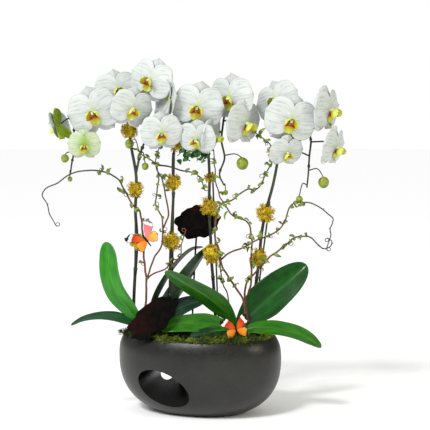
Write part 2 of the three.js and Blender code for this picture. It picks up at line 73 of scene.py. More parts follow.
# %% A helper for finishes
class Finish:
    """A material with a Principled shader, and short ways to add nodes to it."""

    def __init__(self, name, **values):
        self.material = bpy.data.materials.new(name)
        self.material.use_nodes = True
        self.tree = self.material.node_tree
        self.shader = self.tree.nodes["Principled BSDF"]
        for socket, value in values.items():
            self.shader.inputs[socket.replace("_", " ")].default_value = value
        self.place = self.add("TexCoord")

    def add(self, kind, values=None, **settings):
        node = self.tree.nodes.new("ShaderNode" + kind)
        for key, value in settings.items():
            setattr(node, key, value)
        for key, value in (values or {}).items():
            if isinstance(value, bpy.types.NodeSocket):
                self.tree.links.new(value, node.inputs[key])
            else:
                node.inputs[key].default_value = value
        return node

    def stretched(self, scale, source="Object"):
        """The piece's own coordinates, scaled along each axis."""
        return self.add("Mapping", {"Vector": self.place.outputs[source], "Scale": scale}).outputs[0]

    def noise(self, vector, scale, detail=4.0, roughness=0.6):
        values = {"Vector": vector, "Scale": scale, "Detail": detail, "Roughness": roughness}
        return self.add("TexNoise", values).outputs["Fac"]

    def sums(self, operation, *terms):
        return self.add("Math", dict(enumerate(terms)), operation=operation).outputs[0]

    def band(self, value, low, high, start=0.0, end=1.0):
        """start below low, end above high, and a smooth change between."""
        values = {"Value": value, "From Min": low, "From Max": high, "To Min": start, "To Max": end}
        return self.add("MapRange", values, interpolation_type="SMOOTHSTEP").outputs[0]

    def ramp(self, value, *stops):
        """A colour ramp; each stop is a position and a colour."""
        node = self.add("ValToRGB", {"Fac": value})
        while len(node.color_ramp.elements) < len(stops):
            node.color_ramp.elements.new(0.5)
        for element, (position, colour) in zip(node.color_ramp.elements, stops):
            element.position = position
            element.color = (*colour, 1)
        return node.outputs[0]

    def mix(self, share, first, second):
        """Two colours mixed; each is a colour or another node's output."""
        values = {"Factor": share}
        for key, colour in (("A", first), ("B", second)):
            values[key] = colour if isinstance(colour, bpy.types.NodeSocket) else (*colour, 1)
        node = self.add("Mix", data_type="RGBA")
        by_name = {"Factor": node.inputs[0], "A": node.inputs[6], "B": node.inputs[7]}
        for key, value in values.items():
            if isinstance(value, bpy.types.NodeSocket):
                self.tree.links.new(value, by_name[key])
            else:
                by_name[key].default_value = value
        return node.outputs[2]

    def colour(self, output):
        self.tree.links.new(output, self.shader.inputs["Base Color"])

    def rough(self, output):
        self.tree.links.new(output, self.shader.inputs["Roughness"])

    def bump(self, height, strength, distance):
        values = {"Height": height, "Strength": strength, "Distance": distance * MM}
        node = self.add("Bump", values)
        self.tree.links.new(node.outputs[0], self.shader.inputs["Normal"])

    def uv(self):
        """The two coordinates of the piece's own UV map."""
        node = self.add("SeparateXYZ", {"Vector": self.place.outputs["UV"]})
        return node.outputs[0], node.outputs[1]


# %% [markdown]
# ## Turning a mesh into a piece
# Every piece rides on the one body of the model, hides the plain solid it stands for, and takes the
# finishes it is given as its materials.

# %% Helpers for pieces
def piece(bm, name, materials, node=None, smooth=True):
    """Makes an object of the mesh bm, and lets it stand for the solid called node."""
    mesh = bpy.data.meshes.new(name)
    bm.to_mesh(mesh)
    bm.free()
    for material in materials:
        mesh.materials.append(material)
    if smooth:
        mesh.shade_smooth()
    thing = bpy.data.objects.new(name, mesh)
    bpy.context.scene.collection.objects.link(thing)
    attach(thing, "root")
    if node:
        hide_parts(node)
    return thing


def face_outwards(bm):
    """Turns every face outwards, once the faces know where they look now."""
    bm.normal_update()
    bmesh.ops.recalc_face_normals(bm, faces=bm.faces)


def middle(node):
    low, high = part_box(node)
    return (low + high) / 2


def bring_to(bm, place):
    """Moves the whole mesh so that the middle of its box lies at place."""
    lows = Vector([min(vert.co[k] for vert in bm.verts) for k in range(3)])
    highs = Vector([max(vert.co[k] for vert in bm.verts) for k in range(3)])
    bmesh.ops.translate(bm, verts=bm.verts, vec=place - (lows + highs) / 2)


def add_modifier(thing, kind, **settings):
    modifier = thing.modifiers.new(kind.title(), kind)
    for key, value in settings.items():
        setattr(modifier, key, value)
    return modifier


def thicken(thing, thickness, levels=0):
    """Gives a sheet its thickness, in millimetres, and rounds it off."""
    add_modifier(thing, "SOLIDIFY", thickness=thickness * MM, offset=0)
    if levels:
        add_modifier(thing, "SUBSURF", levels=levels, render_levels=levels)


# %% [markdown]
# A leaf, a petal and a wing are all one thing to a modeller: a grid of squares that is laid along
# a shape. sheet() makes the grid, and a function says where each point of it goes. u runs from -1
# to 1 across the sheet and v from 0 to 1 along it.

# %% A helper for sheets
def sheet(bm, columns, rows, place, material=0):
    if not bm.loops.layers.uv:
        bm.loops.layers.uv.new("UVMap")
    grid = bmesh.ops.create_grid(bm, x_segments=columns, y_segments=rows, size=0.5, calc_uvs=True)
    verts = grid["verts"]
    for vert in verts:
        vert.co = place(2 * vert.co.x, vert.co.y + 0.5)
    for face in {face for vert in verts for face in vert.link_faces}:
        face.material_index = material
    return verts


# %% [markdown]
# A stem is a circle pulled along its route. The route is a smooth curve through a few points, and
# the circle is turned a little at each step, so that it stays square to the route without twisting.

# %% Helpers for routes and stems
def smooth_route(points, steps):
    """A Catmull-Rom curve through the points, with the given steps between neighbours."""
    points = [Vector(p) for p in points]
    padded = [2 * points[0] - points[1], *points, 2 * points[-1] - points[-2]]
    route = []
    for i in range(len(points) - 1):
        a, b, c, d = padded[i:i + 4]
        for step in range(steps):
            t = step / steps
            bend = (2 * a - 5 * b + 4 * c - d) * t * t + (3 * b - a - 3 * c + d) * t ** 3
            route.append((2 * b + (c - a) * t + bend) / 2)
    route.append(points[-1])
    return route


def pull_stem(bm, route, radius, sides=8, material=0):
    """Pulls a circle along a route; radius(share) gives its size at each share of the way."""
    turn = Vector((0, 0, 1)).rotation_difference(route[1] - route[0])
    ring = bmesh.ops.create_circle(bm, radius=1, segments=sides)["verts"]
    before = Matrix.Identity(4)
    rim = list({edge for vert in ring for edge in vert.link_edges})
    caps = [rim]
    last_way = (route[1] - route[0]).normalized()
    for i, place in enumerate(route):
        if i:
            extruded = bmesh.ops.extrude_edge_only(bm, edges=rim)["geom"]
            ring = [item for item in extruded if isinstance(item, bmesh.types.BMVert)]
            rim = [item for item in extruded if isinstance(item, bmesh.types.BMEdge)]
            way = (route[min(i + 1, len(route) - 1)] - route[i - 1]).normalized()
            turn = last_way.rotation_difference(way) @ turn
            last_way = way
        size = radius(i / (len(route) - 1))
        now = Matrix.LocRotScale(place, turn, Vector((size, size, size)))
        bmesh.ops.transform(bm, matrix=now @ before.inverted(), verts=ring)
        before = now
    caps.append(rim)
    for edges in caps:
        for face in bmesh.ops.edgeloop_fill(bm, edges=edges)["faces"]:
            face.material_index = material


def even(size):
    return lambda share: size * MM


def taper(first, last, power=1.0):
    return lambda share: (first + (last - first) * share ** power) * MM


# %% [markdown]
# ## Camera, light and floor
# The view is from the front, a little above the bowl, and long-lensed, so that the tall plant is
# hardly distorted. Broad soft lamps on both sides leave a pale sheen on the bowl and the leaves.

# %% Camera
camera_data = bpy.data.cameras.new("camera")
camera_data.lens = 126.3
camera_data.sensor_width = 36
camera = bpy.data.objects.new("camera", camera_data)
camera.location = mm(31, -3000, 640)
aim_at = mm(31, 0, 395.4)
camera.rotation_euler = (aim_at - camera.location).to_track_quat("-Z", "Y").to_euler()
bpy.context.scene.collection.objects.link(camera)
bpy.context.scene.camera = camera
print("camera", round((aim_at - camera.location).length, 3), "m from the plant")


# %% Lamps and sky
def softbox(name, place, size, power, tint=(1, 1, 1)):
    lamp = bpy.data.lights.new(name, "AREA")
    lamp.size = size
    lamp.energy = power
    lamp.color = tint
    thing = bpy.data.objects.new(name, lamp)
    thing.location = place
    thing.rotation_euler = (Vector((0, 0, 0.35)) - thing.location).to_track_quat("-Z", "Y").to_euler()
    bpy.context.scene.collection.objects.link(thing)


softbox("key_left", (-1.5, -1.6, 1.9), 0.9, 34)
softbox("fill_right", (1.7, -1.0, 0.95), 0.5, 9, (1.0, 0.96, 0.72))
sun = bpy.data.lights.new("window_sun", "SUN")
sun.energy = 1.5
sun.angle = math.radians(9)
sun_thing = bpy.data.objects.new("window_sun", sun)
sun_thing.rotation_euler = Vector((0.35, 0.62, -0.72)).to_track_quat("-Z", "Y").to_euler()
bpy.context.scene.collection.objects.link(sun_thing)

# %% [markdown]
# The sky lights everything evenly. Straight on, the sky and the paper floor look pure white, as in a
# studio, while the light that the plant gets from the sky is softer, and what its glossy skins mirror
# is darker still. The standard view transform keeps whites white and greens fresh.

# %% Sky and view transform
world = bpy.data.worlds.new("studio")
world.use_nodes = True
sky = world.node_tree
backdrop = sky.nodes["Background"]
backdrop.inputs["Color"].default_value = (1, 1, 1, 1)
rays = sky.nodes.new("ShaderNodeLightPath").outputs


def choice(ray, otherwise, chosen):
    """One strength for a kind of ray, and another for all the rest."""
    node = sky.nodes.new("ShaderNodeMapRange")
    sky.links.new(rays[ray], node.inputs["Value"])
    if isinstance(otherwise, bpy.types.NodeSocket):
        sky.links.new(otherwise, node.inputs["To Min"])
    else:
        node.inputs["To Min"].default_value = otherwise
    node.inputs["To Max"].default_value = chosen
    return node.outputs[0]


mirrored = choice("Is Glossy Ray", 0.68, 0.25)
sky.links.new(choice("Is Camera Ray", mirrored, 1.0), backdrop.inputs["Strength"])
bpy.context.scene.world = world
bpy.context.scene.view_settings.view_transform = "Standard"

# %% Floor
paper = Finish("studio_paper", Roughness=0.9, Specular_IOR_Level=0.2)
grain = paper.noise(paper.stretched((1, 1, 1)), 60)
paper.colour(paper.ramp(grain, (0.3, (0.985, 0.985, 0.985)), (0.7, (0.998, 0.998, 0.998))))
bm = bmesh.new()
bmesh.ops.create_grid(bm, x_segments=1, y_segments=1, size=14)
floor_mesh = bpy.data.meshes.new("floor")
bm.to_mesh(floor_mesh)
bm.free()
floor_mesh.materials.append(paper.material)
floor = bpy.data.objects.new("floor", floor_mesh)
bpy.context.scene.collection.objects.link(floor)

# %% [markdown]
# ## The bowl
# The bowl is cast: an oval ball, cut flat at the foot and open at the top, with a wall that ends in
# a rounded rim. Its section is drawn once, spun round the upright axis, squeezed from front to back
# and then turned a little. The matte skin has a fine grain that breaks up the light.

# %% Bowl finish
bowl_skin = Finish("charcoal_bowl", Specular_IOR_Level=0.42)
flat = bowl_skin.stretched((1, 1, 1))
cloud = bowl_skin.noise(flat, 9, 3)
grit = bowl_skin.noise(flat, 430, 2, 0.7)
base = bowl_skin.ramp(cloud, (0.35, (0.004, 0.0034, 0.0026)), (0.65, (0.012, 0.012, 0.0095)))
fleck = bowl_skin.band(grit, 0.56, 0.7, 0, 0.35)
bowl_skin.colour(bowl_skin.mix(fleck, base, (0.045, 0.05, 0.05)))
bowl_skin.rough(bowl_skin.band(grit, 0.35, 0.7, 0.3, 0.46))
bowl_skin.bump(bowl_skin.sums("ADD", grit, bowl_skin.noise(flat, 120, 2)), 0.4, 0.45)

# %% [markdown]
# In section the bowl is fuller than an ellipse: its foot is wide and flat. A power of 2.5 in place
# of 2 draws that outline, with a lower half that is taller than the upper one.

# %% Bowl body
BOWL = {"half_width": 168, "half_depth": 118, "belly": 115, "under": 125, "over": 85, "rim": 156, "wall": 7,
        "fullness": 2.5, "turn": -20}
BOWL_TURN = Matrix.Rotation(math.radians(BOWL["turn"]), 4, "Z")


def bowl_width(z, inset=0):
    """How far the bowl reaches to the side at a height."""
    reach = (BOWL["over"] if z > BOWL["belly"] else BOWL["under"]) - inset
    rise = min(1, abs(z - BOWL["belly"]) / reach)
    return (BOWL["half_width"] - inset) * (1 - rise ** BOWL["fullness"]) ** (1 / BOWL["fullness"])


def bowl_section(bm):
    """The wall's section: up the outside, round the rim and down the inside to the axis."""
    wall = BOWL["wall"]
    high = BOWL["rim"] - wall / 2
    heights = [high * i / 30 for i in range(1, 31)]
    outside = [(bowl_width(z), z) for z in heights]
    inside = [(bowl_width(z, wall), z) for z in reversed(heights) if z > wall + 1]
    centre = (outside[-1][0] + inside[0][0]) / 2
    turns = [math.pi * i / 6 for i in range(1, 6)]
    rim = [(centre + wall / 2 * math.cos(turn), high + wall / 2 * math.sin(turn)) for turn in turns]
    foot = [(0, 0), (bowl_width(0) - 1.5, 0), (bowl_width(0) - 0.3, 0.5)]
    floor_line = [(bowl_width(wall + 1, wall) - 2, wall + 1), (0, wall + 1)]
    section = foot + outside + rim + inside + floor_line
    verts = [bm.verts.new((x * MM, 0, z * MM)) for x, z in section]
    return verts + [bm.edges.new(pair) for pair in zip(verts, verts[1:])]


TUNNEL = {"front": {"x": -74.5, "y": -72, "z": 60, "half_width": 53, "half_height": 31.5},
          "rear": {"x": -68, "y": 110, "z": 57, "half_width": 14, "half_height": 14},
          "lean": -25, "reach": 50, "wall": 5}


def funnel(bm, extra):
    """The tunnel: a tilted oval at the front that narrows to a round hole at the back."""
    ring = bmesh.ops.create_cone(bm, cap_ends=True, segments=64, radius1=1, radius2=1, depth=1)["verts"]
    lean = math.radians(TUNNEL["lean"])
    front, rear = TUNNEL["front"], TUNNEL["rear"]
    for vert in ring:
        along = front["y"] - TUNNEL["reach"] if vert.co.z < 0 else rear["y"] + TUNNEL["reach"]
        share = (along - front["y"]) / (rear["y"] - front["y"])
        here = {key: front[key] + (rear[key] - front[key]) * share for key in front}
        wide = vert.co.x * (here["half_width"] + extra)
        high = vert.co.y * (here["half_height"] + extra)
        across = wide * math.cos(lean) - high * math.sin(lean)
        up = wide * math.sin(lean) + high * math.cos(lean)
        vert.co = mm(here["x"] + across, along, here["z"] + up)
    face_outwards(bm)


def helper_object(bm, name, material):
    mesh = bpy.data.meshes.new(name)
    bm.to_mesh(mesh)
    bm.free()
    mesh.materials.append(material)
    thing = bpy.data.objects.new(name, mesh)
    bpy.context.scene.collection.objects.link(thing)
    return thing


bm = bmesh.new()
bmesh.ops.spin(bm, geom=bowl_section(bm), cent=(0, 0, 0), axis=(0, 0, 1), angle=2 * math.pi, steps=96,
               use_merge=True)
bmesh.ops.remove_doubles(bm, verts=bm.verts, dist=1e-6)
bmesh.ops.scale(bm, vec=(1, BOWL["half_depth"] / BOWL["half_width"], 1), verts=bm.verts)
bmesh.ops.transform(bm, matrix=BOWL_TURN, verts=bm.verts)
face_outwards(bm)
shell = helper_object(bm, "bowl_shell", bowl_skin.material)

# %% [markdown]
# The tunnel is a funnel with a wall of its own. The wall is joined to the bowl first, and then its
# inside is taken away, so that the hole runs from front to back and the planting stays sealed.
# Whatever of the funnel's wall sticks out of the bowl is kept back by first cutting it to the bowl's
# outside shape.

# %% Tunnel through the bowl
bm = bmesh.new()
funnel(bm, TUNNEL["wall"])
tunnel_wall = helper_object(bm, "tunnel_wall", bowl_skin.material)
bm = bmesh.new()
funnel(bm, 0)
tunnel_hole = helper_object(bm, "tunnel_hole", bowl_skin.material)
bm = bmesh.new()
ball = bmesh.ops.create_uvsphere(bm, u_segments=96, v_segments=64, radius=1)["verts"]
for vert in ball:
    out = max(1e-6, math.hypot(vert.co.x, vert.co.y))
    flare = out ** (2 / BOWL["fullness"] - 1)
    rise = math.copysign(abs(vert.co.z) ** (2 / BOWL["fullness"]), vert.co.z)
    high = BOWL["over"] if rise > 0 else BOWL["under"]
    vert.co = mm(vert.co.x * flare * (BOWL["half_width"] - 1), vert.co.y * flare * (BOWL["half_depth"] - 1),
                 BOWL["belly"] + rise * (high - 1))
bmesh.ops.transform(bm, matrix=BOWL_TURN, verts=bm.verts)
face_outwards(bm)
whole_ball = helper_object(bm, "whole_ball", bowl_skin.material)


def boolean(thing, operation, other):
    add_modifier(thing, "BOOLEAN", operation=operation, object=other, solver="EXACT")
    graph = bpy.context.evaluated_depsgraph_get()
    mesh = bpy.data.meshes.new_from_object(thing.evaluated_get(graph))
    thing.modifiers.clear()
    thing.data = mesh


boolean(tunnel_wall, "INTERSECT", whole_ball)
boolean(shell, "UNION", tunnel_wall)
boolean(shell, "DIFFERENCE", tunnel_hole)
bm = bmesh.new()
bm.from_mesh(shell.data)
for helper in (tunnel_wall, tunnel_hole, whole_ball, shell):
    bpy.data.objects.remove(helper)
bmesh.ops.remove_doubles(bm, verts=bm.verts, dist=2e-5)
bowl = piece(bm, "oval_bowl", [bowl_skin.material], "bowl")
add_modifier(bowl, "BEVEL", width=1.4 * MM, segments=2, limit_method="ANGLE", angle_limit=math.radians(40))
bowl.data.set_sharp_from_angle(angle=math.radians(50))
print("bowl", len(bowl.data.polygons), "faces")

# %% [markdown]
# ## The planting
# The bowl is filled with bark chips under a bed of moss. The chips can't be seen, so the solid of
# the filling keeps its own shape and only gets a bark finish.

# %% Bark filling
bark = Finish("bark_chips", Roughness=0.9)
chips = bark.add("TexVoronoi", {"Vector": bark.stretched((1, 1, 1)), "Scale": 90}).outputs["Distance"]
bark.colour(bark.ramp(chips, (0.1, (0.07, 0.035, 0.018)), (0.7, (0.015, 0.008, 0.005))))
bark.bump(chips, 0.8, 2)
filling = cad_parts["potting_mix"]
filling.data.materials.clear()
filling.data.materials.append(bark.material)

# %% [markdown]
# Moss is a low lumpy mound with thousands of sprigs on it. One sprig is a stalk with pairs of
# pointed leaflets. It is copied all over the mound, each copy turned and sized by chance, so one
# small shape makes the whole bed. A noise pattern tints the sprigs from dark green to lime.

# %% Moss finishes
def moss_finish(name, dark, main, light, size):
    finish = Finish(name, Roughness=0.85)
    flat = finish.stretched((1, 1, 1))
    patch = finish.noise(flat, size, 3, 0.65)
    fine = finish.noise(flat, size * 9, 2)
    shade = finish.ramp(patch, (0.36, dark), (0.5, main), (0.66, light))
    finish.colour(finish.mix(finish.band(fine, 0.35, 0.75, 0.0, 0.45), shade, light))
    finish.bump(fine, 0.5, 0.4)
    return finish.material


green_moss = moss_finish("green_moss", (0.003, 0.012, 0.001), (0.018, 0.05, 0.003), (0.17, 0.22, 0.006), 24)
gold_moss = moss_finish("gold_moss", (0.13, 0.06, 0.001), (0.5, 0.32, 0.004), (0.7, 0.58, 0.012), 120)


# %% Moss sprig
def sprig_mesh(name, pairs, spread, length):
    """A feathery sprig of a few dozen faces, standing on the origin."""
    bm = bmesh.new()
    pull_stem(bm, [mm(0, 0, 0), mm(0, 0.04 * length, length * 0.5), mm(0, 0.12 * length, length)],
              taper(0.035 * length, 0.012 * length), sides=3)
    for i in range(pairs):
        for side in (-1, 1):
            start = mm(0, 0.06 * length, length * (0.12 + 0.8 * i / pairs))
            reach = spread * (1 - 0.6 * i / pairs)
            leaflet = bmesh.ops.create_circle(bm, cap_ends=True, radius=1, segments=4)["verts"]
            tilt = Euler((math.radians(38 - 60 * (i % 2)), math.radians(-side * 48), 0))
            grow = Matrix.LocRotScale(start, tilt, mm(reach, reach * 0.16, 1))
            shift = Matrix.Translation((side, 0, 0))
            bmesh.ops.transform(bm, matrix=grow @ shift, verts=leaflet)
    mesh = bpy.data.meshes.new(name)
    bm.to_mesh(mesh)
    bm.free()
    return mesh


def scatter(bm, mesh, spots):
    """Adds a copy of a small mesh at each spot: a place, a way to point and a size."""
    for place, way, size in spots:
        copy = mesh.copy()
        spin = Matrix.Rotation(chance.uniform(0, 2 * math.pi), 4, "Z")
        turn = Vector((0, 0, 1)).rotation_difference(way).to_matrix().to_4x4()
        copy.transform(Matrix.Translation(place) @ turn @ spin @ Matrix.Scale(size, 4))
        bm.from_mesh(copy)
        bpy.data.meshes.remove(copy)


# %% Moss bed
MOSS = {"half_width": 149, "half_depth": 103, "rise": 25, "foot": 143}


def mound_height(x, y):
    """How high the moss lies at a place, in millimetres."""
    out = min(1, (x / MOSS["half_width"]) ** 2 + (y / MOSS["half_depth"]) ** 2)
    lumps = 5 * noise.noise(Vector((x / 26, y / 26, 3))) + 2.5 * noise.noise(Vector((x / 9, y / 9, 8)))
    return MOSS["foot"] + MOSS["rise"] * (1 - out) ** 0.6 + lumps


def mound_place(u, v):
    turn, out = math.pi * u, 1 - v
    x, y = MOSS["half_width"] * out * math.cos(turn), MOSS["half_depth"] * out * math.sin(turn)
    return BOWL_TURN @ mm(x, y, mound_height(x, y))


sprig = sprig_mesh("sprig", 5, 0.42, 1.0)
bm = bmesh.new()
sheet(bm, 96, 28, mound_place)
bmesh.ops.remove_doubles(bm, verts=bm.verts, dist=1e-5)
face_outwards(bm)
spots = []
for _ in range(2300):
    turn, out = chance.uniform(-math.pi, math.pi), math.sqrt(chance.random())
    x, y = MOSS["half_width"] * out * math.cos(turn), MOSS["half_depth"] * out * math.sin(turn)
    lean = Vector((out * math.cos(turn), out * math.sin(turn), 0.75)) + Vector(
        [chance.uniform(-0.7, 0.7) for _ in range(3)])
    place = BOWL_TURN @ mm(x, y, mound_height(x, y) - 1)
    spots.append((place, BOWL_TURN @ lean.normalized(), chance.uniform(7, 14)))
# Along the rim the moss lies in clumps: each is a place along the rim and how much moss it holds.
RIM_MOSS = {"half_width": 146, "squeeze": 0.69, "height": 158, "last": 144}
RIM_CLUMPS = [(-132, 8), (-123, 16), (-111, 7), (-92, 4), (-74, 5), (-47, 5), (-28, 13), (-14, 7), (24, 5),
              (48, 10), (62, 9), (93, 16), (104, 12), (118, 8), (150, 8)]
for x, many in RIM_CLUMPS:
    edge, last = RIM_MOSS["half_width"], RIM_MOSS["last"]
    y = -RIM_MOSS["squeeze"] * math.sqrt(max(16, edge ** 2 - min(abs(x), edge) ** 2))
    centre = BOWL_TURN @ mm(min(max(x, -last), last), y, RIM_MOSS["height"])
    out = Vector((centre.x / 3, centre.y, 0)).normalized()
    for _ in range(many * 6):
        place = centre + mm(chance.gauss(0, 2 + many * 0.45), chance.gauss(0, 3), chance.gauss(0.5, 1.8))
        way = out + Vector((chance.uniform(-0.9, 0.9), chance.uniform(-0.5, 0.5), chance.uniform(-0.4, 0.9)))
        spots.append((place, way.normalized(), chance.uniform(6, 12.5)))
for _ in range(160):
    turn = chance.uniform(-math.pi, math.pi)
    edge = BOWL_TURN @ mm(146 * math.cos(turn), 101 * math.sin(turn), 156 + chance.uniform(-1, 3))
    way = Vector((edge.x, edge.y, 0)).normalized() + Vector([chance.uniform(-0.6, 0.6) for _ in range(3)])
    spots.append((edge, way.normalized(), chance.uniform(7, 13)))
scatter(bm, sprig, spots)
moss = piece(bm, "moss_bed_sprigs", [green_moss], "moss_bed", smooth=False)
print("moss bed", len(spots), "sprigs,", len(moss.data.polygons), "faces")

# %% [markdown]
# ## The leaves
# An orchid's leaf is a thick strap with a groove along the middle. Here it is a fine sheet laid
# along a route from the crown to the tip. It is narrow at the base, broad in the middle and blunt at
# the tip, its halves rise from the groove, and its edge waves a little. One leaf has a small second
# leaf under it, which is part of the same piece.

# %% Leaf finishes
def leaf_finish(name, dark, light, rib, gloss):
    finish = Finish(name, Specular_IOR_Level=0.35, Coat_Weight=0.3, Coat_Roughness=0.16)
    across, along = finish.uv()
    off = finish.sums("ABSOLUTE", finish.sums("SUBTRACT", across, 0.5))
    streaks = finish.noise(finish.stretched((60, 2.0, 1), "UV"), 1, 3, 0.7)
    patches = finish.noise(finish.stretched((3, 5, 1), "UV"), 1, 3)
    shade = finish.ramp(finish.sums("MULTIPLY_ADD", patches, 0.75, finish.sums("MULTIPLY", streaks, 0.3)),
                        (0.38, dark), (0.68, light))
    shade = finish.mix(finish.band(off, 0.0, 0.022, 0.6, 0.0), shade, rib)
    shade = finish.mix(finish.band(off, 0.48, 0.498, 0.0, 0.4), shade, rib)
    finish.colour(finish.mix(finish.band(along, 0.0, 0.12, 0.6, 0.0), shade, light))
    finish.rough(finish.band(streaks, 0.3, 0.7, gloss, gloss + 0.14))
    finish.bump(streaks, 0.3, 0.3)
    return finish.material


LEAF_FINISHES = {
    "bright": leaf_finish("leaf_bright", (0.006, 0.12, 0.001), (0.024, 0.25, 0.001), (0.05, 0.3, 0.006), 0.4),
    "grey": leaf_finish("leaf_grey_green", (0.003, 0.035, 0.012), (0.02, 0.085, 0.03),
                        (0.07, 0.16, 0.07), 0.34),
    "dark": leaf_finish("leaf_dark", (0.001, 0.014, 0.004), (0.004, 0.05, 0.009), (0.12, 0.26, 0.1), 0.28),
    "teal": leaf_finish("leaf_teal", (0.002, 0.02, 0.01), (0.012, 0.06, 0.03), (0.09, 0.17, 0.1), 0.3),
    "mid": leaf_finish("leaf_mid_green", (0.002, 0.055, 0.002), (0.028, 0.13, 0.003), (0.07, 0.2, 0.01), 0.3),
    "deep": leaf_finish("leaf_deep_green", (0.0008, 0.03, 0.001), (0.003, 0.085, 0.002),
                        (0.015, 0.13, 0.01), 0.24),
    "fresh": leaf_finish("leaf_fresh_green", (0.002, 0.085, 0.002), (0.04, 0.17, 0.003),
                         (0.05, 0.22, 0.008), 0.32),
}

# %% Leaf routes
LEAVES = {
    "left_upright": {
        "route": [(-108, -12, 172), (-124, -15, 190), (-144, -18, 214), (-166, -20, 242), (-178, -18, 277),
                  (-182, -12, 315), (-187, -6, 342)],
        "across": [(0.9, -0.3, 0.3), (1, -0.1, -0.05)], "width": 42, "fold": 0.12, "face": (0, -1, 0.2),
        "finish": "bright"},
    "left_low": {
        "route": [(-110, -16, 169), (-128, -22, 178), (-146, -26, 187), (-169, -30, 193), (-201, -34, 195),
                  (-230, -38, 191), (-254, -42, 180)],
        "across": [(0.1, 0.95, 0.25), (0.1, 0.9, 0.35)], "width": 42, "fold": 0.15, "blunt": 2.5,
        "finish": "grey"},
    "left_back_wide": {
        "route": [(-108, 0, 166), (-86, 6, 178), (-62, 14, 210), (-38, 20, 248), (-12, 26, 288),
                  (16, 32, 326)],
        "across": [(0.6, 0.7, -0.3), (0.62, 0.7, -0.35)], "width": 46, "fold": 0.4, "blunt": 3,
        "finish": "dark"},
    "left_back_narrow": {
        "route": [(-112, 4, 168), (-99, 14, 190), (-80, 22, 238), (-52, 34, 285), (-20, 44, 318),
                  (6, 52, 326)],
        "across": [(0.3, 0.9, -0.2), (0.2, 0.95, -0.1)], "width": 36, "fold": 0.3, "blunt": 3,
        "finish": "dark"},
    "left_inner": {
        "route": [(-100, 4, 168), (-82, 12, 182), (-56, 22, 196), (-26, 32, 210), (11, 44, 220)],
        "across": [(-0.2, 0.6, 0.75), (-0.25, 0.6, 0.7)], "width": 40, "fold": 0.2, "finish": "teal"},
    "right_arching": {
        "route": [(72, -26, 170), (60, -30, 194), (40, -34, 216), (11, -38, 238), (-28, -40, 262),
                  (-68, -36, 286)],
        "across": [(0.5, -0.55, 0.65), (0.45, -0.45, 0.75)], "width": 50, "fold": 0.1,
        "blunt": 3.5, "finish": "mid"},
    "right_front": {
        "route": [(70, -28, 164), (54, -40, 177), (26, -52, 184), (-8, -62, 187), (-42, -68, 185),
                  (-76, -70, 177)],
        "across": [(0.1, -0.7, -0.65), (0.1, -0.72, -0.65)], "width": 46, "fold": 0.12, "finish": "fresh",
        "under": {
            "route": [(66, -36, 160), (48, -56, 168), (24, -72, 170), (2, -82, 168), (-18, -86, 163)],
            "across": [(0.1, -0.7, -0.65), (0.1, -0.72, -0.65)], "width": 26, "fold": 0.15}},
    "right_tall": {
        "route": [(78, -18, 168), (96, -10, 192), (122, -4, 216), (151, 2, 241), (182, 8, 266),
                  (215, 14, 294)],
        "across": [(0.7, -0.15, -0.7), (0.66, -0.2, -0.72)], "width": 76, "fold": 0.08, "blunt": 4.5,
        "finish": "deep"},
    "right_low": {
        "route": [(80, -26, 164), (100, -30, 171), (124, -36, 174), (154, -44, 173), (190, -52, 165),
                  (218, -58, 153), (240, -62, 139)],
        "across": [(0.1, -0.85, -0.5), (0.2, -0.8, -0.55)], "width": 46, "fold": 0.14, "finish": "fresh"},
}


# %% Leaves
def leaf_width(share, blunt):
    """A narrow base, a broad middle and a rounded tip; more blunt is squarer."""
    rise = min(1, share / 0.5)
    return (0.36 + 0.64 * rise * rise * (3 - 2 * rise)) * max(0.002, 1 - share ** blunt) ** 0.5


def leaf_place(leaf, wave):
    spine = smooth_route([mm(*p) for p in leaf["route"]], 12)
    ends = [Vector(side).normalized() for side in leaf["across"]]
    face = Vector(leaf.get("face", (0, -0.3, 1)))

    def place(u, v):
        v = math.sin(math.pi / 2 * v)
        at = v * (len(spine) - 1)
        i = min(int(at), len(spine) - 2)
        along = (spine[min(i + 2, len(spine) - 1)] - spine[max(i - 1, 0)]).normalized()
        point = spine[i].lerp(spine[i + 1], at - i)
        side = ends[0].lerp(ends[1], v)
        side = (side - along * side.dot(along)).normalized()
        up = side.cross(along)
        up = -up if up.dot(face) < 0 else up
        half = leaf["width"] / 2 * leaf_width(v, leaf.get("blunt", 6)) * MM
        lift = leaf["fold"] * abs(u) ** 1.3 * half - 0.9 * MM * math.exp(-(u / 0.07) ** 2)
        ripple = 1.8 * MM * math.sin(9 * v + wave + 1.5 * (u > 0)) * u * u * math.sin(math.pi * v)
        return point + side * (u * half) + up * (lift + ripple)

    return place


for number, (name, leaf) in enumerate(LEAVES.items()):
    bm = bmesh.new()
    sheet(bm, 18, 44, leaf_place(leaf, number * 1.7))
    if "under" in leaf:
        sheet(bm, 14, 32, leaf_place(leaf["under"], number * 1.7), 1)
    face_outwards(bm)
    skins = [LEAF_FINISHES[leaf["finish"]], LEAF_FINISHES["dark"]]
    thing = piece(bm, "strap_leaf_" + name, skins, "leaf_" + name)
    thicken(thing, 1.5, 1)
print("leaves:", ", ".join(LEAVES))

# %% [markdown]
# ## The crowns
# Where the leaves meet, their bases clasp each other. Each crown is a few curved sheaths, one
# inside the next, each a sheet bent round the upright axis and cut lower at its sides.

# %% Crowns
def sheath_place(centre, radius, turn, top):
    def place(u, v):
        angle = turn + u * 1.9
        out = radius * (1 - 0.25 * v)
        height = 138 + (top - 138) * v * (1 - 0.35 * u * u)
        return centre + mm(out * math.cos(angle), out * math.sin(angle), height)
    return place


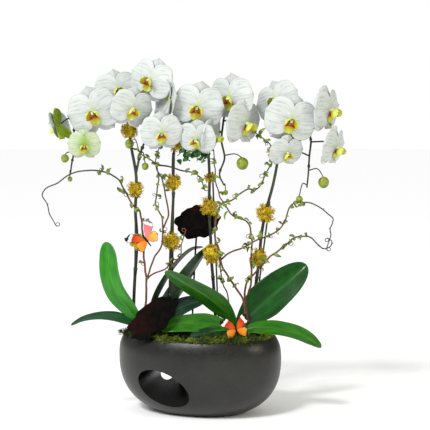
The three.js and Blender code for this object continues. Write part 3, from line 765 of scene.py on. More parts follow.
for side in ("left", "right"):
    centre = middle("crown_" + side)
    centre.z = 0
    bm = bmesh.new()
    for i in range(5):
        sheet(bm, 14, 8, sheath_place(centre, 13.5 - 2 * i, 0.4 + 2.4 * i, 176 + 3 * i))
    face_outwards(bm)
    thing = piece(bm, "crown_sheaths_" + side, [LEAF_FINISHES["mid"]], "crown_" + side)
    thicken(thing, 1.2, 1)
print("crowns made")

# %% [markdown]
# ## The flower spikes
# A spike is a long tapering stem with a small sheath at each joint. Thin stalks leave it for the
# flowers and the buds. The stem is dark olive, and almost black low down.

# %% Stem, bud and stake finishes
stem_skin = Finish("spike_stem", Roughness=0.42)
flat = stem_skin.stretched((1, 1, 0.25))
blotch = stem_skin.noise(flat, 70, 3)
height = stem_skin.add("SeparateXYZ", {"Vector": stem_skin.place.outputs["Object"]}).outputs[2]
low = stem_skin.ramp(blotch, (0.35, (0.002, 0.002, 0.001)), (0.65, (0.012, 0.016, 0.003)))
high = stem_skin.ramp(blotch, (0.35, (0.007, 0.009, 0.003)), (0.65, (0.04, 0.058, 0.008)))
stem_skin.colour(stem_skin.mix(stem_skin.band(height, 0.33, 0.5), low, high))
stem_skin.bump(blotch, 0.3, 0.3)

bud_skin = Finish("bud_skin", Roughness=0.4, Coat_Weight=0.15)
blush = bud_skin.noise(bud_skin.stretched((1, 1, 1)), 85, 3)
bud_skin.colour(bud_skin.ramp(blush, (0.36, (0.07, 0.12, 0.004)), (0.55, (0.24, 0.31, 0.012)),
                              (0.72, (0.2, 0.12, 0.02))))
bud_skin.bump(blush, 0.3, 0.3)

stake_skin = Finish("stake_black", Roughness=0.55)
fibre = stake_skin.noise(stake_skin.stretched((1, 1, 0.06)), 900, 2)
stake_skin.colour(stake_skin.ramp(fibre, (0.3, (0.007, 0.006, 0.005)), (0.7, (0.022, 0.02, 0.017))))
stake_skin.bump(fibre, 0.3, 0.2)

# %% Spike routes
SPIKES = {
    "a": {
        "stems": [
            [(-132, 0, 130), (-132, 0, 207), (-130, 5, 263), (-125, 5, 343), (-128, 5, 403), (-126, 5, 470),
             (-135, 2, 527), (-140, 0, 563), (-146, 5, 599), (-164, 15, 631), (-192, 18, 647),
             (-224, 12, 637), (-243, 5, 607), (-249, 0, 563), (-249, -5, 523), (-253, -8, 500),
             (-256, -10, 478)],
            [(-126, 5, 480), (-118, 5, 517), (-109, 0, 545), (-112, 0, 579), (-110, 8, 612), (-98, 12, 630)],
        ],
        "buds": [((-267, -8, 509), 8, (-250, -6, 518)), ((-257, -10, 468), 5, (-256, -10, 480)),
                 ((-139, -8, 538), 9, (-134, 2, 522)), ((-108, -2, 493), 7, (-117, 5, 517))],
    },
    "b": {
        "stems": [
            [(-59, 5, 130), (-59, 5, 186), (-59, 10, 262), (-58, 10, 322), (-55, 10, 382), (-52, 8, 440),
             (-53, 8, 503), (-47, 8, 543), (-45, 10, 579), (-47, 10, 607), (-57, 12, 639), (-78, 10, 657)],
        ],
        "buds": [],
    },
    "c": {
        "stems": [
            [(33, 0, 130), (32, 5, 186), (28, 10, 254), (24, 12, 302), (22, 12, 352), (19, 12, 406),
             (20, 12, 470), (17, 12, 533), (16, 14, 567), (22, 18, 599), (39, 18, 615), (50, 12, 603),
             (47, 5, 577), (44, 0, 543), (50, -4, 509), (40, -6, 478), (49, -8, 455)],
        ],
        "buds": [((85, -6, 499), 12, (50, -4, 512)), ((52, -8, 441), 5, (48, -8, 456))],
    },
    "d": {
        "stems": [
            [(93, 12, 130), (99, 12, 185), (111, 14, 241), (119, 14, 298), (124, 14, 352), (132, 14, 398),
             (147, 12, 455), (156, 10, 503), (160, 8, 540), (171, 13, 590), (190, 18, 616), (208, 15, 609),
             (217, 10, 583), (219, 8, 561), (222, 6, 541), (219, 4, 513), (217, 2, 479), (214, 0, 450)],
        ],
        "buds": [((247, 0, 461), 11, (218, 3, 484)), ((199, 0, 427), 7, (214, 1, 456))],
    },
}

# %% [markdown]
# ## The flowers
# Each flower is placed where its solid is. It has its own turn about the upright, nod, roll and
# span, and it hangs on a stalk whose root is given here.

# %% Where the flowers face
FLOWERS = {
    "a1": {"turn": 5, "nod": 8, "roll": 0, "span": 66, "root": (-249, -2, 545), "petals": "green"},
    "a2": {"turn": -115, "nod": 22, "roll": 0, "span": 74, "root": (-246, 3, 590), "petals": "green_backed"},
    "a3": {"turn": -6, "nod": 5, "roll": -16, "span": 106, "root": (-228, 11, 630)},
    "a4": {"turn": 14, "nod": -12, "roll": -8, "span": 96, "root": (-178, 16, 642)},
    "a5": {"turn": 24, "nod": 10, "roll": 12, "span": 88, "root": (-146, 5, 599)},
    "a6": {"turn": 118, "nod": 8, "roll": 0, "span": 88, "root": (-98, 12, 630), "approach": 5},
    "b1": {"turn": -22, "nod": -6, "roll": 18, "span": 94, "root": (-78, 10, 657)},
    "b2": {"turn": 4, "nod": 10, "roll": -4, "span": 84, "root": (-46, 9, 575)},
    "c1": {"turn": -5, "nod": 3, "roll": 10, "span": 104, "root": (17, 14, 578)},
    "c2": {"turn": -18, "nod": 16, "roll": 4, "span": 78, "root": (16, 12, 545)},
    "c3": {"turn": 66, "nod": 12, "roll": 0, "span": 84, "root": (44, 0, 560)},
    "c4": {"turn": -26, "nod": 2, "roll": 0, "span": 98, "root": (45, 15, 612)},
    "c5": {"turn": 48, "nod": 8, "roll": 0, "span": 98, "root": (48, 5, 583)},
    "d1": {"turn": 6, "nod": 3, "roll": 14, "span": 106, "root": (182, 16, 610)},
    "d2": {"turn": -30, "nod": -12, "roll": -22, "span": 94, "root": (171, 13, 590)},
    "d3": {"turn": 22, "nod": 22, "roll": 0, "span": 72, "root": (219, 4, 515)},
    "d4": {"turn": 58, "nod": 3, "roll": -4, "span": 100, "root": (210, 14, 605)},
    "d5": {"turn": 58, "nod": 12, "roll": 0, "span": 86, "root": (222, 6, 541)},
}


def facing(flower):
    """The turn of a flower, which looks to the front before it is turned."""
    turns = ((flower["turn"], "Z"), (flower["nod"], "X"), (flower["roll"], "Y"))
    matrix = Matrix.Identity(4)
    for angle, axis in turns:
        matrix = matrix @ Matrix.Rotation(math.radians(angle), 4, axis)
    return matrix


# %% [markdown]
# A petal is white with faint lengthwise veins, soft grey shade painted into the crease down its middle
# and a breath of green where it joins. The lip is the coloured part: rust in the throat, then yellow,
# then pale green at its edges. The pattern follows the sheet's own UV map, so it runs along each petal.

# %% Flower finishes
def petal_finish(name, white, grey, base, reach):
    finish = Finish(name, Roughness=0.6, Specular_IOR_Level=0.25)
    across, along = finish.uv()
    off = finish.sums("ABSOLUTE", finish.sums("SUBTRACT", across, 0.5))
    veins = finish.noise(finish.stretched((26, 2.4, 1), "UV"), 1, 3, 0.65)
    shade = finish.ramp(veins, (0.36, grey), (0.52, white))
    # The grey band down the middle is painted shade, where the petal folds along its crease.
    shade = finish.mix(finish.band(off, 0.0, 0.035, 0.6, 0.0), shade, grey)
    finish.colour(finish.mix(finish.band(along, 0.02, reach, 0.85, 0.0), shade, base))
    finish.bump(finish.sums("MULTIPLY_ADD", finish.band(off, 0.0, 0.04), 0.6, veins), 0.5, 0.6)
    return finish.material


WHITE = (0.52, 0.55, 0.535)
PETAL_FINISHES = {
    "white": petal_finish("petal_white", WHITE, (0.37, 0.41, 0.385), (0.46, 0.55, 0.28), 0.16),
    "green": petal_finish("petal_green", (0.46, 0.52, 0.37), (0.32, 0.39, 0.2), (0.22, 0.36, 0.02), 0.62),
    "green_backed": petal_finish("petal_green_back", (0.24, 0.33, 0.012), (0.14, 0.22, 0.008),
                                 (0.2, 0.32, 0.008), 0.5),
}
sepal_white = petal_finish("sepal_white", (0.48, 0.5, 0.49), (0.35, 0.37, 0.36), (0.36, 0.48, 0.12), 0.3)

lip_skin = Finish("flower_lip", Roughness=0.5, Specular_IOR_Level=0.3)
across, along = lip_skin.uv()
dots = lip_skin.noise(lip_skin.stretched((1, 1, 1)), 420, 2)
depth = lip_skin.sums("MULTIPLY_ADD", dots, 0.45, lip_skin.sums("SUBTRACT", along, 0.2))
lip_skin.colour(lip_skin.ramp(depth, (0.1, (0.12, 0.012, 0.001)), (0.3, (0.33, 0.06, 0.002)),
                              (0.44, (0.6, 0.3, 0.003)), (0.62, (0.42, 0.48, 0.008)),
                              (0.9, (0.55, 0.6, 0.12))))
lip_skin.bump(dots, 0.4, 0.3)
column_skin = Finish("flower_column", Roughness=0.5, Specular_IOR_Level=0.3)
tint = column_skin.noise(column_skin.stretched((1, 1, 1)), 200, 2)
column_skin.colour(column_skin.ramp(tint, (0.3, (0.5, 0.62, 0.2)), (0.6, (0.7, 0.74, 0.6))))


# %% Petals, lip and column
def petal(bm, matrix, size, bend, wave, outline, material):
    """A petal that rises along Z from the origin and shows its face to the front."""
    length, half = size
    base_power, tip_power, height, shoulder = outline

    def place(u, v):
        wide = height * v ** base_power * (1 - v ** tip_power) ** 0.5
        back = bend[0] * u * u * v + bend[1] * v * v
        ripple = 0.024 * math.sin(5.5 * u + 4 * v + wave) * v * v + 0.035 * math.exp(-(u / 0.13) ** 2) * v
        rise = v - shoulder * u * u * math.sin(math.pi * min(1, 1.15 * v)) - 0.06 * u * u * v
        point = Vector((u * half * wide, length * (back - ripple), length * rise))
        return matrix @ point

    verts = sheet(bm, 12, 14, place, material)
    bmesh.ops.remove_doubles(bm, verts=verts, dist=1e-6)


BROAD = (0.36, 3.6, 1.3, 0.16)
LONG = (0.34, 2.6, 1.4, 0)
SPOON = (0.42, 2.4, 1.5, 0)


def flower_mesh(bm, span, seed):
    """A whole flower at the origin, looking to the front."""
    wave = 2.1 * seed
    size = span * MM

    def at(x, y, z, *turns):
        matrix = Matrix.Translation(Vector((x, y, z)) * size)
        for angle, axis in turns:
            matrix = matrix @ Matrix.Rotation(math.radians(angle), 4, axis)
        return matrix

    for angle, half in ((0, 0.215), (144, 0.185), (-144, 0.185)):
        petal(bm, at(0, 0.035, 0, (angle, "Y"), (-4, "X")), (0.5 * size, half * size), (0.18, 0.08),
              wave + angle, LONG, 1)
    for angle in (82, -82):
        petal(bm, at(0, 0.005, 0, (angle, "Y"), (-5, "X")), (0.52 * size, 0.37 * size), (0.08, 0.06),
              wave + 2 * angle, BROAD, 0)
    for side in (-1, 1):
        petal(bm, at(side * 0.015, -0.02, -0.08, (side * 58, "Y"), (30, "X")), (0.19 * size, 0.1 * size),
              (-0.4, -0.35), wave, SPOON, 2)
    petal(bm, at(0, -0.03, -0.06, (180, "Y"), (-28, "X")), (0.2 * size, 0.1 * size), (-0.3, -0.1),
          wave, SPOON, 2)
    petal(bm, at(0, -0.045, -0.1, (0, "Y"), (12, "X")), (0.1 * size, 0.05 * size), (-0.3, -0.2),
          wave, SPOON, 4)
    tip = [Vector((0, 0.01, -0.005)) * size, Vector((0, -0.05, 0.006)) * size,
           Vector((0, -0.1, -0.018)) * size]
    pull_stem(bm, smooth_route(tip, 3), lambda share: (0.026 + 0.01 * math.sin(3 * share)) * size, 10, 3)
    cap = bmesh.ops.create_uvsphere(bm, u_segments=10, v_segments=6, radius=0.03 * size)["verts"]
    bmesh.ops.translate(bm, verts=cap, vec=tip[-1])
    for face in {face for vert in cap for face in vert.link_faces}:
        face.material_index = 3


throat_skin = Finish("flower_throat", Roughness=0.5, Specular_IOR_Level=0.3)
spots = throat_skin.noise(throat_skin.stretched((1, 1, 1)), 500, 2)
throat_skin.colour(throat_skin.ramp(spots, (0.36, (0.1, 0.012, 0.001)), (0.5, (0.3, 0.07, 0.002)),
                                    (0.64, (0.6, 0.3, 0.004))))
throat_skin.bump(spots, 0.5, 0.3)
for number, (name, flower) in enumerate(FLOWERS.items()):
    bm = bmesh.new()
    flower_mesh(bm, flower["span"], number)
    bmesh.ops.transform(bm, matrix=facing(flower), verts=bm.verts)
    bring_to(bm, middle("flower_" + name))
    kind = flower.get("petals", "white")
    sepals = sepal_white if kind == "white" else PETAL_FINISHES[kind]
    petals = PETAL_FINISHES["white" if kind == "green_backed" else kind]
    skins = [petals, sepals, lip_skin.material, column_skin.material, throat_skin.material]
    thing = piece(bm, "open_flower_" + name, skins, "flower_" + name)
    thicken(thing, 0.5, 1)
print(len(FLOWERS), "flowers")

# %% [markdown]
# With the flowers in place, each stalk can run from its root on the spike to the back of its
# flower. A bud's stalk rises a little and then nods under the bud's weight.

# %% Spikes, stalks and buds
def nearest(route, root):
    return min(route, key=lambda place: (place - root).length)


def bud(bm, centre, size, root):
    top = centre + mm(0, 0, size * 0.9)
    bend = root.lerp(centre, 0.6)
    bend.z = max(root.z, top.z) + 3 * MM
    pull_stem(bm, smooth_route([root, bend, top], 5), taper(1.4, 1.1), 6)
    ball = bmesh.ops.create_uvsphere(bm, u_segments=18, v_segments=12, radius=1)["verts"]
    for vert in ball:
        ridge = 1 + 0.05 * math.cos(3 * math.atan2(vert.co.y, vert.co.x))
        point = 1.12 if vert.co.z < 0 else 1.0
        vert.co = centre + mm(vert.co.x * ridge * size, vert.co.y * ridge * size, vert.co.z * point * size)
    for face in {face for vert in ball for face in vert.link_faces}:
        face.material_index = 1


for letter, spike in SPIKES.items():
    bm = bmesh.new()
    routes = []
    for number, points in enumerate(spike["stems"]):
        route = smooth_route([mm(*p) for p in points], 6)
        routes += route
        pull_stem(bm, route, taper(3.4 if number == 0 else 2.4, 1.6, 1.5), 10)
        for share in (0.14, 0.3, 0.46, 0.58, 0.7, 0.82, 0.93):
            i = int(share * (len(route) - 2))
            pull_stem(bm, [route[i], route[i].lerp(route[i + 1], 0.6), route[i + 1]],
                      taper(3.6 - 1.1 * share, 4.7 - 1.4 * share, 2), 8)
    for centre, size, root in spike["buds"]:
        bud(bm, mm(*centre), size, nearest(routes, mm(*root)))
    for name, flower in FLOWERS.items():
        if name[0] != letter:
            continue
        turn = facing(flower)
        heart = middle("flower_" + name)
        back = heart + turn @ mm(0, 2, 0)
        behind = heart + turn @ mm(0, flower.get("approach", 16), 3)
        route = smooth_route([nearest(routes, mm(*flower["root"])), behind, back], 7)
        pull_stem(bm, route, taper(1.7, 1.5), 8)
    face_outwards(bm)
    piece(bm, "flower_spike_" + letter, [stem_skin.material, bud_skin.material],
          "spike_" + letter)
print("spikes:", ", ".join(SPIKES))

# %% [markdown]
# A thin black stake stands behind each spike, and holds it up.

# %% Stakes
STAKES = {"a": ((-132, 8, 130), (-127, 12, 470)), "b": ((-57, 14, 130), (-50, 16, 545)),
          "c": ((40, 8, 130), (26, 20, 480)), "d": ((104, 20, 130), (141, 24, 420))}
for letter, (foot, top) in STAKES.items():
    bm = bmesh.new()
    foot, top = mm(*foot), mm(*top)
    route = [foot.lerp(top, i / 8) for i in range(9)] + [top + mm(0, 0, 1)]
    pull_stem(bm, route, lambda share: (1.7 if share < 0.99 else 0.9) * MM, 12)
    face_outwards(bm)
    piece(bm, "black_stake_" + letter, [stake_skin.material], "support_stake_" + letter)
print("stakes:", len(STAKES))

# %% [markdown]
# ## Curly willow
# The twigs are thin, kinked and forked, red-brown low down and grey at their curling ends. Small
# leaves curl off them, and their tips wind up like springs.

# %% Willow finishes
twig_bark = Finish("willow_bark", Roughness=0.6)
flat = twig_bark.stretched((1, 1, 1))
knots = twig_bark.noise(flat, 130, 3)
axes = twig_bark.add("SeparateXYZ", {"Vector": twig_bark.place.outputs["Object"]}).outputs
red = twig_bark.ramp(knots, (0.3, (0.045, 0.01, 0.006)), (0.7, (0.2, 0.045, 0.02)))
grey = twig_bark.ramp(knots, (0.3, (0.014, 0.011, 0.011)), (0.7, (0.065, 0.048, 0.045)))
aside = twig_bark.band(twig_bark.sums("ABSOLUTE", axes[0]), 0.16, 0.235)
aloft = twig_bark.band(axes[2], 0.38, 0.49)
twig_bark.colour(twig_bark.mix(twig_bark.sums("MAXIMUM", aside, aloft), red, grey))
twig_bark.bump(knots, 0.5, 0.4)


def willow_leaf_finish(name, dark, light):
    finish = Finish(name, Roughness=0.45)
    patch = finish.noise(finish.stretched((1, 1, 1)), 90, 2)
    finish.colour(finish.ramp(patch, (0.35, dark), (0.65, light)))
    finish.bump(patch, 0.3, 0.3)
    return finish.material


willow_leaf = willow_leaf_finish("willow_leaf", (0.045, 0.08, 0.006), (0.2, 0.27, 0.03))
dark_leaf = willow_leaf_finish("willow_leaf_dark", (0.005, 0.05, 0.006), (0.04, 0.18, 0.018))

# %% Willow routes
WILLOW = {
    "left": [
        [(-122, -28, 132), (-114, -25, 191), (-106, -25, 227), (-105, -25, 266), (-109, -25, 302),
         (-113, -22, 361), (-116, -18, 401), (-130, -14, 414), (-148, -14, 444), (-162, -14, 468),
         (-188, -14, 482), (-218, -14, 485), (-251, -18, 480), (-281, -18, 460), (-303, -18, 450),
         (-311, -18, 436), (-302, -18, 419), (-297, -18, 401), (-287, -18, 378)],
        [(-105, -25, 268), (-90, -25, 310), (-76, -22, 333), (-72, -20, 361), (-75, -18, 395),
         (-87, -16, 418), (-83, -14, 446), (-81, -12, 472), (-85, -12, 496), (-103, -12, 510),
         (-118, -10, 520), (-124, -14, 542)],
        [(-73, -20, 368), (-62, -10, 396), (-66, -10, 432), (-73, -10, 464), (-85, -12, 492),
         (-84, -14, 520), (-74, -16, 540)],
        [(-85, -12, 496), (-57, -8, 492), (-33, -8, 484), (-9, -8, 480), (4, -8, 466), (10, -6, 448)],
        [(-105, -25, 270), (-90, -28, 282), (-68, -28, 290), (-53, -28, 307), (-37, -28, 313),
         (-34, -28, 342), (-27, -26, 364)],
    ],
    "centre": [
        [(88, -40, 132), (90, -30, 182), (89, -26, 222), (76, -22, 246), (59, -20, 272), (45, -18, 297),
         (39, -16, 329), (30, -14, 361), (35, -14, 400), (45, -14, 420), (63, -14, 426), (91, -12, 446),
         (113, -10, 448), (125, -8, 460), (135, -8, 486), (145, -8, 504), (144, -10, 528),
         (133, -10, 544), (111, -10, 560), (100, -10, 574)],
        [(43, -17, 308), (61, -14, 322), (85, -12, 330), (113, -8, 345), (137, -8, 355), (159, -6, 367),
         (171, -4, 383), (178, -4, 407), (189, -4, 419), (209, -4, 421), (231, -4, 416), (263, -4, 393),
         (265, -4, 381), (261, -4, 367), (262, -4, 353), (253, -4, 331)],
        [(70, 4, 132), (62, 0, 187), (56, -4, 237), (47, -10, 261), (41, -16, 300), (39, -16, 325)],
    ],
    "upright": [
        [(94, -6, 132), (94, -2, 188), (96, -2, 228), (103, -2, 264), (102, 2, 300), (104, 2, 334),
         (102, 2, 368), (91, 0, 385), (71, -3, 391), (57, -4, 406), (43, -2, 429), (33, 0, 463),
         (30, -1, 503), (27, -2, 527)],
    ],
    "right": [
        [(108, -18, 132), (96, -16, 189), (90, -16, 235), (95, -18, 263), (118, -18, 289),
         (138, -16, 311), (158, -14, 326), (174, -12, 338), (186, -12, 349), (202, -12, 354),
         (221, -12, 352), (236, -12, 337), (248, -12, 329), (260, -12, 334), (264, -10, 343),
         (258, -8, 348)],
    ],
}


# %% Willow twigs and leaves
def curl(start, way, size, turns):
    """A short tendril that winds up towards its end."""
    way = way.normalized()
    side = way.cross(Vector((0, 1, 0.2))).normalized()
    route = []
    for i in range(15):
        share = i / 14
        angle, out = 2 * math.pi * turns * share, size * (1 - 0.55 * share) * MM
        sweep = way * math.sin(angle) * out + side * (1 - math.cos(angle)) * out
        route.append(start + sweep + way * share * size * 0.6 * MM)
    return route


def curled_leaf(bm, start, way, length, width, material):
    """A narrow leaf that rolls up from its root to its tip."""
    way = way.normalized()
    side = way.cross(Vector((chance.uniform(-1, 1), 1, chance.uniform(-1, 1)))).normalized()
    up = way.cross(side)
    roll = chance.uniform(2.2, 5.2)

    def place(u, v):
        radius = length / roll
        along = way * math.sin(roll * v) * radius + up * (1 - math.cos(roll * v)) * radius
        return start + (along + side * u * width * math.sin(math.pi * (0.08 + 0.9 * v)) + side * v * 2) * MM
    sheet(bm, 2, 7, place, material)


for name, routes in WILLOW.items():
    bm = bmesh.new()
    for number, points in enumerate(routes):
        route = smooth_route([mm(*p) for p in points], 5)
        for i, place in enumerate(route[3:], 3):
            sway = noise.noise_vector(place * 55) * 2.2 * MM
            route[i] = place + Vector((sway.x, 0.5 * sway.y, 0.4 * sway.z))
        thick = 2.5 if number == 0 else 1.9
        pull_stem(bm, route, taper(thick, 1.05, 0.8), 7)
        end = route[-1] - route[-2]
        pull_stem(bm, curl(route[-1], end, 5.5, 1.1), taper(1.05, 0.45), 6)
        for i in range(12, len(route) - 1, 4):
            way = Vector((chance.uniform(-1, 1), chance.uniform(-0.6, 0.3), chance.uniform(-0.5, 1)))
            if not (route[i].z > 0.25 and -0.21 < route[i].x < 0.215):
                if route[i].z > 0.25 and chance.random() < 0.5:
                    pull_stem(bm, [route[i], route[i] + way.normalized() * 4 * MM], taper(0.9, 0.5), 5)
                continue
            for _ in range(chance.choice((1, 2, 2, 3))):
                twist = way + Vector([chance.uniform(-0.6, 0.6) for _ in range(3)])
                curled_leaf(bm, route[i], twist, chance.uniform(14, 29), chance.uniform(2.2, 4.4), 1)
            if chance.random() < 0.35:
                pull_stem(bm, curl(route[i], way, chance.uniform(4, 7), 1.1), taper(0.8, 0.4), 5)
    if name == "left":
        for _ in range(54):
            start = mm(chance.uniform(-36, 16), chance.uniform(-34, -12), chance.gauss(519, 8))
            way = Vector([chance.uniform(-1, 1) for _ in range(3)])
            curled_leaf(bm, start, way, chance.uniform(11, 20), chance.uniform(3.5, 6.5), 2)
        stem = [mm(-44, -12, 514), mm(-30, -20, 523), mm(-12, -24, 517), mm(4, -20, 523), mm(16, -8, 516)]
        pull_stem(bm, smooth_route(stem, 5), even(0.8), 5)
    face_outwards(bm)
    thing = piece(bm, "curly_willow_" + name, [twig_bark.material, willow_leaf, dark_leaf],
                  "willow_" + name)
    print("willow", name, len(thing.data.polygons), "faces")

# %% [markdown]
# ## Golden moss tufts
# Dried reindeer moss is tied round each spike in tufts. One curl of it is a short crooked thread
# with a fork. Hundreds of them, pointing outwards from a lumpy core, make a tuft.

# %% Golden tufts
bm = bmesh.new()
pull_stem(bm, [mm(0, 0, 0), mm(0.1, 0.05, 0.4), mm(-0.12, 0.1, 0.75), mm(0.05, -0.1, 1)],
          taper(0.11, 0.05), 3)
pull_stem(bm, [mm(0.1, 0.05, 0.4), mm(0.32, 0.1, 0.62), mm(0.36, -0.08, 0.9)], taper(0.09, 0.04), 3)
pull_stem(bm, [mm(-0.05, 0.08, 0.6), mm(-0.34, 0.02, 0.8), mm(-0.3, 0.22, 1.0)], taper(0.08, 0.04), 3)
thread = bpy.data.meshes.new("moss_thread")
bm.to_mesh(thread)
bm.free()
tufts = [name for name in sorted(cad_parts) if name.startswith("moss_tuft_")]
for name in tufts:
    low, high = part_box(name)
    centre, half = (low + high) / 2, (high - low) / 2
    bm = bmesh.new()
    core = bmesh.ops.create_icosphere(bm, subdivisions=3, radius=1)["verts"]
    for vert in core:
        swell = 0.74 + 0.45 * noise.noise(vert.co * 2.6 + centre * 90)
        vert.co = centre + Vector([vert.co[k] * half[k] * swell for k in range(3)])
    spots = []
    for _ in range(int(190 * (half.x + half.z) / (34 * MM))):
        way = Vector([chance.gauss(0, 1) for _ in range(3)]).normalized()
        root = 0.55 + 0.55 * noise.noise(way * 2.2 + centre * 70)
        place = centre + Vector([way[k] * half[k] * root for k in range(3)])
        lean = (way + Vector([chance.uniform(-0.6, 0.6) for _ in range(3)])).normalized()
        spots.append((place, lean, chance.uniform(6, 10)))
    scatter(bm, thread, spots)
    piece(bm, name.replace("moss_tuft", "golden_tuft"), [gold_moss], name, smooth=False)
print(len(tufts), "tufts")

# %% [markdown]
# ## Dried mushrooms
# Two dried bracket mushrooms stand on wires among the leaves. Each cap is a disc with a ruffled edge
# and rings of growth, almost black, with a dull red bloom on one edge.

# %% Mushroom finish
cap_skin = Finish("mushroom_skin", Roughness=0.95, Specular_IOR_Level=0.1)
flat = cap_skin.stretched((1, 1, 1))
rough = cap_skin.noise(flat, 95, 5, 0.7)
bloom = cap_skin.noise(flat, 14, 2)
black = cap_skin.ramp(rough, (0.35, (0.0005, 0.0004, 0.0004)), (0.68, (0.004, 0.0025, 0.002)))
cap_skin.colour(cap_skin.mix(cap_skin.band(bloom, 0.5, 0.7, 0.0, 0.5), black, (0.02, 0.002, 0.0015)))
cap_skin.bump(rough, 0.9, 1.6)


# %% Mushrooms
def cap_place(radius, depth, wave, matrix):
    """A disc about Z, domed on its upper side, with a ruffled edge and rings."""
    def place(u, v):
        turn, out = math.pi * u, 1 - abs(2 * v - 1)
        edge = radius * (1 + 0.05 * math.sin(5 * turn + wave) + 0.035 * math.sin(9 * turn + 1 + wave)
                         + 0.02 * math.sin(17 * turn))
        upper = v > 0.5
        dome = depth * (1 - out ** 2.6) * (1.15 if upper else -0.55)
        rings = 0.7 * math.sin(17 * out + wave) + 0.9 * math.sin(22 * turn) * out ** 3
        ruffle = 2.8 * math.sin(7 * turn + wave) * out ** 4
        point = mm(edge * out * math.cos(turn), edge * out * math.sin(turn), dome + ruffle + rings * upper)
        return matrix @ point
    return place


def rotations(*turns):
    matrix = Matrix.Identity(4)
    for angle, axis in turns:
        matrix = Matrix.Rotation(math.radians(angle), 4, axis) @ matrix
    return matrix


def mushroom(name, place, stalk):
    bm = bmesh.new()
    sheet(bm, 110, 40, place)
    bmesh.ops.remove_doubles(bm, verts=bm.verts, dist=1e-5)
    pull_stem(bm, smooth_route([mm(*p) for p in stalk], 8), even(1.9), 10)
    face_outwards(bm)
    return piece(bm, "dried_" + name, [cap_skin.material], name)


def cap_matrix(place, turns, squeeze):
    """Where a cap lies: squeezed first, then turned, then moved to its place."""
    return Matrix.Translation(mm(*place)) @ rotations(*turns) @ Matrix.Diagonal((*squeeze, 1, 1))


upright = cap_matrix((-4, 34, 378), ((78, "X"), (-8, "Y")), (0.98, 0.72))
mushroom("mushroom_upright", cap_place(46, 11, 0, upright),
         [(-5, 36, 372), (-10, 38, 295), (-15, 44, 182), (-16, 46, 132)])
leaning = cap_matrix((-91, -66, 199), ((48, "X"), (-38, "Y")), (1, 0.62))
mushroom("mushroom_leaning", cap_place(57, 10, 2, leaning),
         [(-90, -62, 198), (-88, -52, 172), (-86, -44, 132)])
print("mushrooms made")

# %% [markdown]
# ## Butterflies
# Two paper butterflies sit on the plant. A wing is a sheet spread like a fan from the body, so the
# dark veins follow one UV direction and the black border with its white spots follows the other.

# %% Wing finishes
def wing_finish(name, inner, outer, edge, tip, tip_from, white_from):
    """inner and outer are the colours at the body and further out; edge is the border's colour."""
    finish = Finish(name, Roughness=0.65, Specular_IOR_Level=0.2)
    across, along = finish.uv()
    off = finish.sums("ABSOLUTE", finish.sums("SUBTRACT", across, 0.5))
    wobble = finish.noise(finish.stretched((6, 4, 1), "UV"), 1, 2)
    shifted = finish.sums("MULTIPLY_ADD", wobble, 0.1, across)
    ribs = finish.sums("ABSOLUTE", finish.sums("SINE", finish.sums("MULTIPLY", shifted, 5 * math.pi)))
    shade = finish.mix(finish.band(along, 0.25, 0.8), inner, outer)
    shade = finish.mix(finish.band(ribs, 0.06, 0.22, 0.75, 0.0), shade, edge)
    out = finish.sums("MULTIPLY_ADD", wobble, 0.14, along)
    shade = finish.mix(finish.band(out, white_from, white_from + 0.03), shade, (0.7, 0.7, 0.66))
    shade = finish.mix(finish.band(out, tip_from, tip_from + 0.03), shade, tip)
    border = finish.sums("MAXIMUM", finish.band(off, 0.43, 0.46), finish.band(along, 0.93, 0.95))
    finish.colour(finish.mix(border, shade, edge))
    finish.bump(ribs, 0.3, 0.2)
    return finish.material


BLACK = (0.006, 0.004, 0.004)
RUST = (0.06, 0.012, 0.008)
wing_orange = wing_finish("wing_orange", (0.75, 0.2, 0.01), (0.62, 0.26, 0.02), RUST, RUST, 0.99, 1.2)
wing_red = wing_finish("wing_red", (0.62, 0.1, 0.01), (0.42, 0.008, 0.002), BLACK, BLACK, 0.9, 0.76)
wing_pink = wing_finish("wing_pink", (0.75, 0.2, 0.15), (0.65, 0.13, 0.2), (0.2, 0.1, 0.17),
                        (0.13, 0.16, 0.19), 0.9, 0.78)
wing_pale = wing_finish("wing_pale_orange", (0.72, 0.27, 0.02), (0.75, 0.4, 0.08), (0.2, 0.09, 0.09),
                        RUST, 0.99, 1.2)
insect_black = Finish("insect_black", Roughness=0.7)
fuzz = insect_black.noise(insect_black.stretched((1, 1, 1)), 700, 2)
insect_black.colour(insect_black.ramp(fuzz, (0.3, (0.006, 0.005, 0.005)), (0.7, (0.03, 0.025, 0.022))))


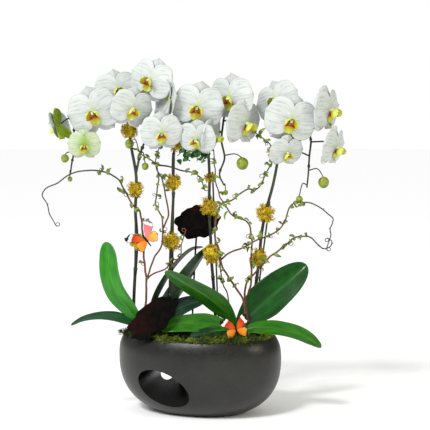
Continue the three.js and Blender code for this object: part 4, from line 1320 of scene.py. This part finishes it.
# %% Butterflies
def wing(bm, side, sweep, size, forward, material):
    """A wing on one side: where it points, its length and half width, and how far it is folded up."""
    length, half = size
    turn = Matrix.Rotation(math.radians(-side * forward), 4, "Z")
    point = Matrix.Rotation(math.radians(side * sweep), 4, "Y")

    def place(u, v):
        wide = half * 1.25 * v ** 0.75 * (1 - v ** 4) ** 0.5 * (1 + 0.04 * math.cos(16 * v))
        bow = 0.06 * length * math.sin(math.pi * v) - 0.12 * wide * u * u
        return turn @ point @ mm(side * u * wide, -bow, length * v * (1 - 0.06 * u * side))
    verts = sheet(bm, 14, 16, place, material)
    bmesh.ops.remove_doubles(bm, verts=verts, dist=1e-6)


def butterfly(bm, forward, finishes):
    for side, (fore, hind) in zip((-1, 1), finishes):
        wing(bm, side, 101, (25, 12.5), forward, hind)
        wing(bm, side, 45, (42, 11), forward - 3, fore)
    body = [mm(0, -1, 12), mm(0, -1, 8), mm(0, -1, 3), mm(0, -1, -5), mm(0, 0, -15)]
    plump = lambda share: (0.5 + 1.4 * math.sin(math.pi * (0.12 + 0.8 * share))) * MM
    pull_stem(bm, smooth_route(body, 4), plump, 10, 4)
    for side in (-1, 1):
        feeler = [mm(side * 0.5, -1, 12), mm(side * 3, -3, 17), mm(side * 6, -4, 20)]
        pull_stem(bm, smooth_route(feeler, 4), lambda share: (0.22 + 0.3 * share ** 6) * MM, 5, 4)


wings = [wing_red, wing_orange, wing_pink, wing_pale, insect_black.material]
INSECTS = {
    "butterfly_high": (1.0, 10, ((0, 1), (2, 3)), rotations((-38, "Y"), (6, "Z"))),
    "butterfly_low": (1.0, 36, ((0, 1), (0, 1)), rotations((10, "X"), (-12, "Y"))),
}
for name, (size, forward, finishes, turn) in INSECTS.items():
    bm = bmesh.new()
    butterfly(bm, forward, finishes)
    bmesh.ops.transform(bm, matrix=turn @ Matrix.Scale(size, 4), verts=bm.verts)
    bring_to(bm, middle(name))
    thing = piece(bm, "paper_" + name, wings, name)
    add_modifier(thing, "SOLIDIFY", thickness=0.35 * MM, offset=0)
print("butterflies:", ", ".join(INSECTS))
